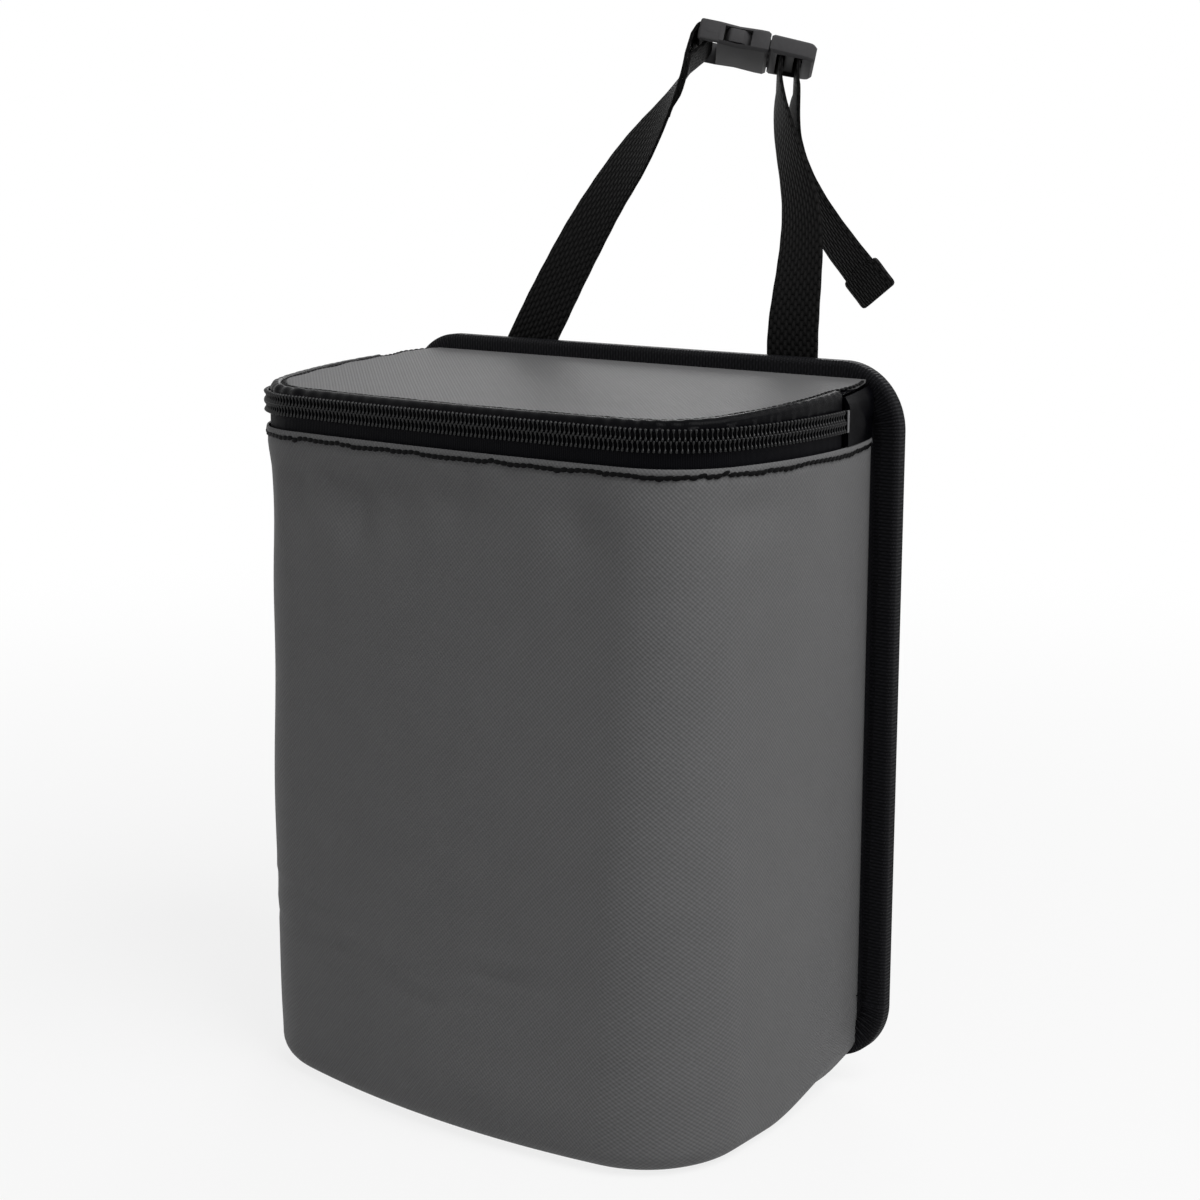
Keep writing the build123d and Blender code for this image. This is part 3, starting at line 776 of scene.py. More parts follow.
bottom = plan_sheet("bag_bottom", base_plan, bottom_rings, bag_rear - bottom_inset, bottom_lift)
face_towards(bottom, lambda c: (0, 0, -1))
thicken(bottom, 0.9 * cloth)
dress(bottom, grey_cloth, "grey_cloth", "bag", "bottom_panel")

# %% [markdown]
# ## Foam and liner inside
# Behind the cloth lie 3 mm of foam and a loose waterproof liner. Both use the same wall and the same
# softness with a larger inset, so that a dent goes through all the layers and none of them pokes out.

# %% Wall foam
foam_inset = 0.95
foam_top = 279.3
foam_rear = 71.75


def foam_place(a, b):
    z = base_round + (foam_top - base_round) * b
    point, out = wall(a, z, foam_inset, foam_rear)
    return tucked(point + out * give(a, z))


foam = cut_sheet("wall_padding", 132, 60, foam_place, spread(468, 270))
face_towards(foam, outward)
thicken(foam, 2.9)
dress(foam, foam_white, "foam", "bag", "body_foam")

# %% Inner liner
liner_inset = 4.2
liner_rear = 71.35
liner_floor = 3.6
liner_round = 6.0
liner_straight = liner_floor + liner_round
liner_top = 283.2
liner_levels = [liner_floor + liner_round * (1 - cos(pi / 2 * k / 5)) for k in range(5)]
liner_levels += [liner_straight + (liner_top - liner_straight) * k / 60 for k in range(61)]


def liner_turn(z):
    """How far the liner's rounded bottom edge pulls in."""
    part = min((z - liner_floor) / liner_round, 1.0)
    return liner_round * (1 - sin(acos(1 - part)))


def liner_point(a, z):
    side = liner_turn(z)
    if z < base_round:
        point, out = outline(base_plan, liner_inset + side, liner_rear - side, a)
        return np.array([*point, z])
    point, out = wall(a, z, liner_inset, liner_rear)
    loose = 0.3 * sin(a * 90 + z / 21) * sin(z / 33 + a * 25)
    return point + out * (give(a, z) - 0.35 + loose)


def liner_wall(a, b):
    return tucked(liner_point(a, at(liner_levels, b)))


def liner_back(a, b):
    right = liner_point(0.0, at(liner_levels, b))
    loose = 0.5 * sin(pi * a) * (0.5 + 0.5 * sin(a * 14 + b * 9))
    return tucked((right[0] * (1 - 2 * a), right[1] - loose * ease_in(b, 0.02, 0.2), right[2]))


liner_rows = len(liner_levels) - 1
liner = cut_sheet("bin_liner", 160, liner_rows, liner_wall, spread(466, 284))
liner_rear_wall = cut_sheet("liner_back", 60, liner_rows, liner_back, spread(238, 284))
floor_rings = [liner_inset + liner_round, liner_inset + liner_round + 2, 115, 135, 160, 200]


def floor_lift(x, y, a, ring):
    return tucked((x, y, liner_floor))


floor_rear = liner_rear - liner_round
liner_ground = plan_sheet("liner_floor", base_plan, floor_rings, floor_rear, floor_lift, 200)
face_towards(liner, lambda c: (-c.x, -c.y, 0))
face_towards(liner_rear_wall, lambda c: (0, -1, 0))
face_towards(liner_ground, lambda c: (0, 0, 1))
join(liner, liner_rear_wall, liner_ground)
thicken(liner, 0.4, offset=0)
dress(liner, liner_film, "liner", "bag", "inner_liner")

# %% [markdown]
# ## Lid
# The lid is one flat piece of the grey cloth. It is level with the hinge at the back and drops towards
# the front. Its cut edge is turned in and stitched to the zip tape, which leaves it slightly wavy.

# %% Lid cloth
hinge_y = 71.15
hinge_z = 307.8
lid_drop = 7.0
lid_edge = 7.0
lid_tilt = atan2(lid_drop, rim_plan["depth"])


def on_lid(x, y, above):
    """A point above the lid's tilted top, from a level plan."""
    back = y - hinge_y
    return (
        x,
        hinge_y + back * cos(lid_tilt) - above * sin(lid_tilt),
        hinge_z + back * sin(lid_tilt) + above * cos(lid_tilt),
    )


def edge_wave(a):
    run = a * rim_length / wrap_share
    return 0.45 * sin(run / 3.9 + 1.4 * sin(run / 23)) + 0.3 * sin(run / 8.7)


def lid_flare(x, y):
    """Behind the end of the zip the lid reaches out to the tabs."""
    return x + (1 if x > 0 else -1) * 4.6 * ease_in(y, 34.0, 60.0) * ease_in(abs(x), 70.0, 112.0)


def lid_lift(x, y, a, ring):
    edge = 1 - ease_in(ring, lid_edge, 13.0)
    wave = roll = 0.0
    if a <= wrap_share:
        wave = edge_wave(a) * min(ease_in(a, 0, 0.04), ease_in(wrap_share - a, 0, 0.04))
        roll = 0.9 * (1 - ease_in(ring, lid_edge, 8.6)) + 0.35 * wave * edge
    crown = 0.35 * sin(x / 41 + 0.5) * cos(y / 37) * ease_in(ring, 12, 140)
    scale = 1 - 0.006 * wave * edge
    return on_lid(lid_flare(x * scale, y), y * scale if y < hinge_y - 10 else y, crown - roll)


lid_rings = [lid_edge, 7.3, 7.7, 8.2, 8.8, 9.6, 10.6, 12.0, 14.0, 17.0, 21.0, 26.0]
lid_rings += [150, 160, 170, 180, 190, 200]
lid = plan_sheet("lid_cloth", rim_plan, lid_rings, hinge_y, lid_lift, 420)
face_towards(lid, lambda c: (0, 0, 1))
thicken(lid, 0.7)
dress(lid, grey_cloth, "grey_cloth", "lid", "lid_panel")

# %% Lid stitches
lid_up = (0, -sin(lid_tilt), cos(lid_tilt))
lid_line = []
for k in range(420):
    u = 0.006 + 0.988 * k / 419
    wave = edge_wave(wrap_share * u)
    point, out = outline(rim_plan, lid_edge + 0.25 + 0.3 * wave, hinge_y, u)
    lid_line.append((on_lid(lid_flare(*point), point[1], -0.25 - 0.2 * wave), lid_up))
lid_seam = seam("lid_edge_stitch", bead(3.5, 2.0, 1.2), lid_line, 3.0, 0.2, 0.15)
dress(lid_seam, thread_black, None, "lid")

# %% Lid lining
lining_rings = [6.0, 7.0, 8.5, 110, 130, 160, 200]


def lining_lift(x, y, a, ring):
    return on_lid(x, y, -4.15 - 0.25 * ease_in(ring, 6, 8.5) - 0.15 * sin(x / 15) * sin(y / 19))


lining = plan_sheet("lid_liner", rim_plan, lining_rings, hinge_y, lining_lift)
face_towards(lining, lambda c: (0, 0, -1))
thicken(lining, 0.4, offset=0)
dress(lining, liner_film, "liner", "lid", "lid_lining")

# %% [markdown]
# ## Zip tapes
# The lower tape rises from behind the hem to the teeth. The upper one leaves the teeth, rolls over and
# runs in under the edge of the lid. Its roll is gathered round the corners, so it wrinkles there, and the
# wrinkles catch the light.

# %% Lower tape
chain_end = 38.75
parting = 294.5
half_gap = 0.35
tape_inset = 1.35
tape_foot = 279.8
tape_length = 399


def lower_tape_place(a, b):
    z = tape_foot + (parting - half_gap - tape_foot) * b
    point, out = outline(rim_plan, tape_inset, chain_end, a)
    return (*(point + out * 0.12 * sin(a * 400) * (1 - b)), z)


lower_tape = cut_sheet("zip_tape_lower", 200, 10, lower_tape_place, spread(tape_length, 14.5))
face_towards(lower_tape, outward)
thicken(lower_tape, 0.6)
dress(lower_tape, tape_black, "zip_tape", "bag", "zipper_tape_lower")

# %% Upper tape
roll_inset = 1.4
roll_foot = -2.7
tape_reach = 13.8
wrinkle_run = 460
roll_turns = [pi * k / 9 for k in range(10)]
# A row of the tape: its inset, then how far it is above the lid, or its share of the way up to the roll.
roll_stations = [(tape_inset, None, 0.0), (tape_inset, None, 0.5), (roll_inset, None, 1.0)]
roll_stations += [
    (roll_inset + 2.3 * (1 - cos(t)), roll_foot + 1.8 * t / pi + 2.2 * sin(t), None) for t in roll_turns
]
roll_stations += [(inset, -0.9, None) for inset in (6.6, 8.0, 10.0, tape_reach)]
corner_places = (0.5 - 0.205, 0.5 + 0.205)


def gather(u):
    """How strongly the tape wrinkles: most round the corners."""
    return 0.25 + sum(exp(-(((u - place) / 0.05) ** 2)) for place in corner_places)


def upper_tape_place(a, b):
    inset, above, share = at(roll_stations, b)
    run = a * wrinkle_run
    wrinkle = gather(a) * (0.3 * sin(run / 1.15 + 1.7 * sin(run / 11)) + 0.2 * sin(run / 2.6))
    point, out = outline(rim_plan, inset, chain_end, a)
    if share is not None:
        top = on_lid(point[0], point[1], roll_foot)[2]
        z = parting + half_gap + (top - parting - half_gap) * share
        return (*(point + out * wrinkle * share), z)
    fade = 1 - ease_in(inset, 4.6, 7.2)
    x, y = point + out * wrinkle * 0.7 * fade
    return on_lid(x, y, above + 0.5 * wrinkle * fade)


tape_rows = len(roll_stations) - 1
upper_tape = cut_sheet("zip_tape_upper", 520, tape_rows, upper_tape_place, spread(tape_length, 18))
face_towards(upper_tape, lambda c: (c.x, c.y - 0.01, 0.03))


def flange_place(side):
    """The rest of the upper tape along the lid's side, from the end of the teeth to the hinge."""

    def place(a, b):
        y = chain_end - 1.0 + (hinge_y - chain_end + 1.0) * a
        inset = 2.6 + (tape_reach - 2.6) * b
        point, out = outline(rim_plan, inset, y, 0.0)
        droop = 0.5 * (1 - ease_in(b, 0.0, 0.2))
        return on_lid(side * point[0], point[1], -0.95 - droop)

    return place


for side, title in ((1, "right"), (-1, "left")):
    flange = cut_sheet("tape_end_" + title, 30, 10, flange_place(side), spread(34, 11))
    face_towards(flange, lambda c: (0, 0, 1))
    join(upper_tape, flange)
thicken(upper_tape, 0.5, 70)
dress(upper_tape, satin_black, "zip_tape", "lid", "zipper_tape_upper")

# %% [markdown]
# ## Coil teeth
# A coil zip is a nylon spring sewn to each tape. From outside, each turn shows as a short bar with a
# rounded back and a swollen head that locks between two heads of the other side. One bar is a sphere with
# few rings, drawn out and swollen at both ends, and it repeats every 2.1 mm.

# %% One tooth
let_go()
bpy.ops.mesh.primitive_uv_sphere_add(segments=6, ring_count=9, radius=0.5)
tooth = bpy.context.object
tooth_pitch = 2.1
tooth_size = (1.55, 2.5, 5.1)
tooth_rise = 2.15
tooth_levels = (-0.5, -0.47, -0.383, -0.25, -0.087, 0.087, 0.25, 0.383, 0.47, 0.5)
tooth_swells = (0.3, 0.62, 1.0, 0.85, 0.34, 0.34, 0.85, 1.0, 0.62, 0.3)
for vertex in tooth.data.vertices:
    x, y, level = vertex.co
    swell = np.interp(level, tooth_levels, tooth_swells) if abs(level) < 0.499 else 0.0
    turn = atan2(y, x)
    shape = (0.5 * swell * cos(turn), 0.5 * swell * sin(turn), level)
    vertex.co = [share * size * mm for share, size in zip(shape, tooth_size)]


def teeth(name, start, flip):
    """A row of teeth on the rim, from one end of the chain to the other."""
    fine = [outline(rim_plan, -0.05, chain_end, k / 2000) for k in range(2001)]
    points = np.array([point for point, out in fine])
    outs = np.array([out for point, out in fine])
    run = lengths_along(points)
    bare_end = 0.5 if flip > 0 else 16.0  # the upper row ends where the parked slider is
    places = []
    for station in np.arange(start, run[-1] - bare_end, tooth_pitch):
        middle = (*between(station, run, points), parting - flip * tooth_rise)
        out = np.array([*unit(between(station, run, outs)), 0.0])
        up = np.array([0, 0, flip])
        places.append((middle, np.cross(out, up), out, up))
    print(name, len(places), "teeth, one every", tooth_pitch, "mm")
    return sow(name, tooth, places)


lower_teeth = teeth("zip_teeth_lower", 1.0, 1)
upper_teeth = teeth("zip_teeth_upper", 2.05, -1)
dress(lower_teeth, coil_black, "coil", "bag", "zipper_chain_lower")
dress(upper_teeth, coil_black, "coil", "lid", "zipper_chain_upper")

# %% [markdown]
# ## End tabs
# Where the teeth stop, a folded tab of satin tape fills the corner between the bag, the lid and the back
# panel. It is a soft pad: a thick sheet with a rolled top and a few slanting wrinkles.

# %% Satin tabs
tab_front = 40.9
tab_rear = 71.55
tab_foot = 284.15


def tab_place(side):
    def place(a, b):
        y = tab_front + (tab_rear - tab_front) * a
        point, out = outline(rim_plan, -0.6, y, 0.0)
        top = on_lid(point[0], y, -2.1)[2]
        roll = ease_in(b, 0.72, 1.0)
        z = tab_foot + (top - tab_foot) * b
        fold = 0.5 * sin(y / 2.7 + z / 3.1) * sin(pi * a) + 0.45 * sin(y / 5 - z / 4)
        bulge = 0.55 * sin(pi * b) ** 0.7 - 1.5 * roll**2
        point = point + out * (bulge + fold * sin(pi * min(max(b, 0.02), 0.98)))
        return side * point[0], point[1], z

    return place


for side, title in ((1, "right"), (-1, "left")):
    tab = cut_sheet("satin_tab_" + title, 44, 26, tab_place(side), spread(31, 20))
    face_towards(tab, lambda c: (side, 0, 0))
    thicken(tab, 2.0, 70)
    dress(tab, satin_black, "satin", "bag", "zipper_tab_" + title)

# %% [markdown]
# ## Back panel
# The panel is a board between two black cloths, with a ribbed tape folded round its edge. The cloths are
# nearly flat, with a slight puff. The tape runs round a rounded rectangle; on the straights it lies flat,
# and round each corner its inner edge is too long, so it gathers into small radial folds.

# %% Panel cloths
panel_width = 264.5
panel_bottom = 10.0
panel_top = 314.5
panel_corner = 28.0
panel_rear = 77.75


def panel_half(z, inset):
    """Half the panel's width at a height."""
    reach = panel_corner - inset
    low = panel_bottom + inset + reach - z
    high = z - (panel_top - inset - reach)
    past = max(low, high, 0.0)
    return panel_width / 2 - inset - reach + sqrt(max(reach**2 - past**2, 0.0))


def panel_sheet(name, depth, puff):
    inset = 1.2

    def place(a, b):
        z = panel_bottom + inset + (panel_top - panel_bottom - 2 * inset) * b
        x = (2 * a - 1) * panel_half(z, inset)
        quilt = sin(pi * a) * sin(pi * b)
        wave = 0.5 * sin(x / 37 + z / 53) * sin(z / 41 - x / 67) + 0.25 * sin(x / 17 - z / 23)
        return x, depth + puff * quilt * (0.75 + 0.35 * wave), z

    return cut_sheet(name, 90, 100, place, spread(264, 304))


back_cloth = panel_sheet("back_cloth", panel_rear - 0.35, 0.55)
front_cloth = panel_sheet("front_cloth", panel_front + 0.05, 0.0)
for piece, facing, node in ((back_cloth, 1, "back_outer_panel"), (front_cloth, -1, "back_lining")):
    face_towards(piece, lambda c: (0, facing, 0))
    thicken(piece, 0.6)
    dress(piece, black_cloth, "black_cloth", "bag", node)

# %% Binding path
side_run = panel_top - panel_bottom - 2 * panel_corner
top_run = panel_width - 2 * panel_corner
turn_run = pi / 2 * panel_corner
binding_length = 2 * (side_run + top_run) + 4 * turn_run


def binding_path(a):
    """A place on the panel's edge: its point, outward direction and share of the way round a corner."""
    run = (a % 1.0) * binding_length
    half_x, half_z = top_run / 2, side_run / 2
    middle_z = (panel_bottom + panel_top) / 2
    legs = [(1, 0, side_run, 0.0), (1, 1, turn_run, 0.0), (0, 1, top_run, pi / 2)]
    legs += [(-1, 1, turn_run, pi / 2), (-1, 0, side_run, pi), (-1, -1, turn_run, pi)]
    legs += [(0, -1, top_run, 3 * pi / 2), (1, -1, turn_run, 3 * pi / 2)]
    for x_side, z_side, length, angle in legs:
        if run <= length:
            break
        run -= length
    part = run / length
    if x_side and z_side:
        turn = angle + pi / 2 * part
        out = np.array([cos(turn), sin(turn)])
        point = np.array([x_side * half_x, middle_z + z_side * half_z]) + out * panel_corner
        return point, out, part
    out = np.array([cos(angle), sin(angle)])
    ahead = np.array([-out[1], out[0]])
    point = np.array([0, middle_z]) + out * ((half_x if x_side else half_z) + panel_corner)
    return point + ahead * (part - 0.5) * length, out, None


# %% [markdown]
# The tape's section is a U: a leg on the front of the panel, a rounded edge and a leg on the back. Behind
# the bag the front leg has no room, so it is drawn back to the edge there.

# %% Binding tape
leg = 10.6
edge_turn = 1.4
edge_turns = [pi / 2 * k / 4 for k in range(1, 5)]
# A row of one half of the tape: its inset from the panel's edge, and its depth.
section = [(leg, 0.0), (leg - 0.4, -0.25), (leg * 0.75, -0.3), (leg * 0.5, -0.3)]
section += [(leg * 0.25, -0.3), (edge_turn, -0.25)]
section += [(edge_turn - edge_turn * sin(t), 1.2 * (1 - cos(t))) for t in edge_turns]
front_half = len(section)
last_row = 2 * front_half - 1
binding_front = 71.95
binding_rear = 78.55


def binding_place(a, b):
    index = round(b * last_row)
    on_front = index < front_half
    inset, depth = section[index if on_front else last_row - index]
    point, out, part = binding_path(a)
    run = a * binding_length
    if on_front and abs(point[0]) < 118 and point[1] < 60:
        inset = min(inset, 0.9)
    deep = inset / leg
    fold = 0.05 * sin(run / 2.3) * deep
    slack = 0.25 * deep * sin(run / 31)
    if part is not None:
        ends_held = ease_in(part, 0, 0.12) * (1 - ease_in(part, 0.88, 1))
        fold += ends_held * deep**0.6 * 0.42 * sin(part * 2 * pi * 11)
    inset += slack if inset > 4 else 0.0
    x, z = point - out * inset
    if on_front:
        y = binding_front + depth - fold - (0.12 if part is not None else 0)
    else:
        y = binding_rear - depth + fold
    return x, y, z


binding = cut_sheet("edge_binding", 1000, last_row, binding_place, spread(binding_length, 28))
weld(binding)
face_towards(binding, lambda c: (c.x, 0, c.z - 0.16))
thicken(binding, 0.5, 70)
dress(binding, binding_black, "binding", "bag", "back_binding")

# %% Binding stitches
for title, depth, facing in (("front", binding_front - 0.35, -1), ("rear", binding_rear + 0.35, 1)):
    line = []
    for k in range(1200):
        point, out, part = binding_path(k / 1200)
        x, z = point - out * (leg - 2.4 + 0.25 * sin(k / 9))
        if facing < 0 and abs(x) < 127 and z < 40:
            continue
        line.append(((x, depth, z), (0, facing, 0)))
    if facing < 0:
        steps = np.diff([point for point, out in line], axis=0)
        gap = int(np.argmax(np.linalg.norm(steps, axis=1)))
        line = line[gap + 1 :] + line[: gap + 1]
    binding_seam = seam("binding_stitch_" + title, bead(2.9, 0.55, 0.45), line, 3.4, 0.06)
    dress(binding_seam, thread_black, None, "bag")

# %% [markdown]
# ## Straps
# A strap is webbing with rounded edges: a long ribbon with a flat closed section, led along a line that
# says where its middle runs and which way its width points. The lines follow the engineering model: a
# sewn end that steps over the binding, a free run that twists, and a fold in the buckle. Only the loose
# tail is set apart from it, as it hangs in the photo.


# %% Lines for straps
webbing_width = 25.0
webbing_thick = 1.5
strap_steps = 70
tail_steps = 60


def angle_between(first, last):
    """The angle between two directions of length 1."""
    return acos(max(-1.0, min(1.0, float(first @ last))))


def turned(vector, axis, degrees_):
    """A vector turned about an axis."""
    return np.array(Matrix.Rotation(radians(degrees_), 3, Vector(axis)) @ Vector(vector))


def smooth_line(points, first, last, count):
    """A smooth line through points with given directions at its ends."""
    points = np.array(points, float)
    knots = lengths_along(points)
    size = len(points)
    matrix, right = np.zeros((size, size)), np.zeros((size, 3))
    matrix[0, 0] = matrix[-1, -1] = 1
    right[0], right[-1] = unit(first), unit(last)
    for k in range(1, size - 1):
        before, after = knots[k] - knots[k - 1], knots[k + 1] - knots[k]
        matrix[k, k - 1], matrix[k, k], matrix[k, k + 1] = after, 2 * (before + after), before
        behind, ahead = points[k] - points[k - 1], points[k + 1] - points[k]
        right[k] = 3 * (after * behind / before + before * ahead / after)
    slopes = np.linalg.solve(matrix, right)
    made = []
    for station in np.linspace(0, knots[-1], count):
        k = min(int(np.searchsorted(knots, station, side="right")) - 1, size - 2)
        span = knots[k + 1] - knots[k]
        t = (station - knots[k]) / span
        near = (2 * t**3 - 3 * t**2 + 1) * points[k] + (t**3 - 2 * t**2 + t) * span * slopes[k]
        far = (3 * t**2 - 2 * t**3) * points[k + 1] + (t**3 - t**2) * span * slopes[k + 1]
        made.append(near + far)
    return made


def folded_line(points, radius):
    """Straight runs with rounded folds between them."""
    points = [np.array(p, float) for p in points]
    made = [points[0]]
    for before, corner, after in zip(points, points[1:], points[2:]):
        back, ahead = unit(before - corner), unit(after - corner)
        opening = angle_between(back, ahead)
        room = min(np.linalg.norm(before - corner), np.linalg.norm(after - corner))
        reach = min(radius / tan(opening / 2), 0.49 * room)
        bend = reach * tan(opening / 2)
        middle = corner + unit(back + ahead) * hypot(reach, bend)
        start, end = corner + back * reach - middle, corner + ahead * reach - middle
        sweep = angle_between(unit(start), unit(end))
        for k in range(9):
            t = k / 8
            mix = start * sin((1 - t) * sweep) + end * sin(t * sweep)
            made.append(middle + (mix / sin(sweep) if sweep > 1e-6 else start))
    made.append(points[-1])
    return made


def twist(first, last, count, ease=1.0):
    """Width directions that turn from one to another."""
    first, last = unit(first), unit(last)
    angle = angle_between(first, last)
    made = []
    for k in range(count):
        part = (k / (count - 1)) ** ease
        made.append(unit(first * sin((1 - part) * angle) + last * sin(part * angle)))
    return made


def ribbon(name, line, widths, width=webbing_width, thick=webbing_thick, corner=0.0):
    """Webbing along a line: a closed flat section with rounded edges at every place."""
    line = np.array(line, float)
    keep = [0] + [k for k in range(1, len(line)) if np.linalg.norm(line[k] - line[k - 1]) > 0.05]
    line, widths = line[keep], np.array(widths, float)[keep]
    run = lengths_along(line)
    heads = np.gradient(line, axis=0)
    half, thin, edge = width / 2, thick / 2, thick * 0.42
    ring = [(-half + edge + (2 * half - 2 * edge) * k / 6, thin) for k in range(7)]
    ring += [(half - edge + edge * sin(t), thin * cos(t)) for t in (pi / 4, pi / 2, 3 * pi / 4)]
    ring += [(-x, -y) for x, y in ring]
    ring.append(ring[0])
    around = lengths_along(ring)

    def place(a, b):
        k, j = round(a * (len(line) - 1)), round(b * (len(ring) - 1))
        head = unit(heads[k])
        across = unit(widths[k] - head * (widths[k] @ head))
        out = np.cross(head, across)
        side, up = ring[j]
        fray = 1 + 0.006 * sin(run[k] / 1.9) + 0.006 * sin(run[k] / 7.3)
        past = max(corner - min(run[k], run[-1] - run[k]), 0.0)
        fray -= (corner - sqrt(max(corner**2 - past**2, 0.0))) / half
        return tuple(line[k] + across * side * fray + out * up)

    def flat(a, b):
        return at(run, a), at(around, b)

    piece = cut_sheet(name, len(line) - 1, len(ring) - 1, place, flat)
    weld(piece)
    with edited(piece):
        bpy.ops.mesh.fill_holes(sides=0)
        bpy.ops.mesh.normals_make_consistent(inside=False)
    smooth(piece)
    print(name, round(run[-1]), "mm long")
    return piece


# %% Places in the buckle
buckle_centre = np.array([40.8, panel_front + 26.6, 441.0])
level_axis = turned((1, 0, 0), (0, 0, 1), 32.0)
level_across = turned((0, 1, 0), (0, 0, 1), 32.0)
buckle_axis = turned(level_axis, level_across, 11.4)
buckle_across = turned(level_across, buckle_axis, -17.0)
buckle_up = np.cross(buckle_axis, buckle_across)


def in_buckle(x, z, y=0.0):
    return buckle_centre + buckle_axis * x + buckle_across * y + buckle_up * z


def leaning(lean):
    """The directions along and across a strap that leans to the right, in degrees."""
    sine, cosine = sin(radians(lean)), cos(radians(lean))
    return np.array([sine, 0, cosine]), np.array([cosine, 0, -sine])


# Where a strap crosses the panel's top edge, and how far it leans there.
left_foot = (-64.0, 31.0)
right_foot = (75.8, 0.0)
foot_low = -46.0
foot_depth = 78.6
over_binding = 79.6


def sewn_end(base_x, lean):
    """The flat end on the back of the panel, up to where the free strap begins."""
    up, across = leaning(lean)
    root = np.array([base_x, 0, panel_top])
    step_top = -(leg / cos(radians(lean)) + webbing_width / 2 * tan(radians(lean))) - 1.5
    stations = [(foot_low, foot_depth), (step_top - 5.0, foot_depth)]
    stations += [(step_top, over_binding), (4.0, over_binding)]
    points = [root + up * height + np.array([0, depth, 0]) for height, depth in stations]
    return folded_line(points, 2.5), points[-1], up, across


# %% Left strap
left_end, left_start, left_up, left_across = sewn_end(*left_foot)
bar_x = -21.6
loop = 3.35
fold = 0.85
hang = unit((-0.35, -0.94))
aside = np.array([hang[1], -hang[0]])
loop_stations = [hang * 12 + aside * fold, hang * loop + aside * loop, -hang * loop + aside * loop]
loop_stations += [-hang * loop - aside * loop, hang * loop - aside * loop, hang * 12 - aside * fold]
loop_points = [in_buckle(bar_x + s[0], s[1]) for s in loop_stations]
left_middle = (-20.2, panel_front + 12.7, 386.0)
left_stops = [left_start, left_middle, loop_points[0]]
left_run = smooth_line(left_stops, left_up, loop_points[1] - loop_points[0], strap_steps)
left_loop = folded_line(loop_points[:-1], loop * 0.8)
left_turns = twist(left_across, -buckle_across, strap_steps, 1.9)
last_step = strap_steps - 1
back_steps = range(last_step, last_step - 11, -1)
laid_back = []
for k in back_steps:
    head = unit(left_run[k] - left_run[k - 1])
    across = unit(left_turns[k] - head * (left_turns[k] @ head))
    lay = 1.62 - 0.9 * ease_in(last_step - k, 6, 10)
    laid_back.append(left_run[k] + np.cross(head, across) * lay)
left_line = left_end[:-1] + left_run[:-1] + left_loop + laid_back
left_widths = [left_across] * (len(left_end) - 1) + left_turns[:-1]
left_widths += [-buckle_across] * len(left_loop) + [left_turns[k] for k in back_steps]
strap_left = ribbon("webbing_left", left_line, left_widths)
dress(strap_left, webbing_black, "webbing", "bag", "strap_left")

# %% [markdown]
# The right strap threads up through the buckle's ladder, over its bar and down again as a loose tail.
# When the buckle is let go, the ladder half moves off and the fold and the tail move with it; the run
# from the panel to the ladder moves with neither half.

# %% Right strap
right_end, right_start, right_up, right_across = sewn_end(*right_foot)
ladder_up, ladder_down = 12.6, 20.0
ladder_stops = [(1.6, -12.0), (0.0, -2.3), (0.0, 3.45)]
ladder_points = [in_buckle(ladder_up + x, z) for x, z in ladder_stops]
ladder_points += [in_buckle(ladder_down + x, z) for x, z in reversed(ladder_stops)]
right_middle = (71.4, panel_front + 18.3, 374.6)
right_stops = [right_start, right_middle, ladder_points[0]]
right_run = smooth_line(right_stops, right_up, ladder_points[1] - ladder_points[0], strap_steps)
right_widths = [right_across] * (len(right_end) - 1)
right_widths += twist(right_across, -buckle_across, strap_steps, 1.4)
strap_right = ribbon("webbing_right", right_end[:-1] + right_run, right_widths)
dress(strap_right, webbing_black, "webbing", None, "strap_right")
tuple(right_start * mm)
tuple(ladder_points[0] * mm)
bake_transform(strap_right)

# %% Fold and tail
right_fold = folded_line(ladder_points, 2.25)
tail_points = [ladder_points[-1], (58.6, panel_front + 32.3, 402.5), (67.9, panel_front + 31.5, 379.6)]
tail_points.append((99.4, panel_front + 35.8, 340.0))
tail_flare = unit((0.577, 0.23, -0.773))
tail_across = unit((0.79, -0.45, 0.4))
tail_run = smooth_line(tail_points, ladder_points[-1] - ladder_points[-2], tail_flare, tail_steps)
tail_widths = [-buckle_across] * (len(right_fold) - 1)
tail_widths += twist(-buckle_across, tail_across, tail_steps, 0.55)
strap_tail = ribbon("webbing_tail", right_fold[:-1] + tail_run, tail_widths)
dress(strap_tail, webbing_black, "webbing", "male_half")
tail_hem_line = [np.array(tail_points[-1]) + tail_flare * s for s in np.linspace(-12.4, 1.8, 29)]
tail_hem_widths = [tail_across] * len(tail_hem_line)
tail_hem = ribbon("webbing_tail_hem", tail_hem_line, tail_hem_widths, width=28.0, thick=3.2, corner=2.2)
dress(tail_hem, webbing_black, "webbing", "male_half")

# %% [markdown]
# ## Box stitches on the straps
# Each strap end is held to the panel by a stitched box with a cross in it, the usual sewing on webbing.


# %% Box stitches
def box_seam(title, base_x, lean):
    up, across = leaning(lean)
    root = np.array([base_x, 79.42, panel_top]) - up * 44.0
    low_left, low_right, high_right, high_left = (-9.5, 1.0), (9.5, 1.0), (9.5, 17.0), (-9.5, 17.0)
    runs = [(low_left, low_right), (low_right, high_right), (high_right, high_left)]
    runs += [(high_left, low_left), (low_left, high_right), (low_right, high_left)]
    line = []
    for (x0, z0), (x1, z1) in runs:
        for t in np.linspace(0, 1, 12):
            point = root + across * (x0 + (x1 - x0) * t) + up * (z0 + (z1 - z0) * t)
            line.append((point, (0, 1, 0)))
    return seam("box_stitch_" + title, bead(2.7, 0.7, 0.5), line, 3.0, 0.05)


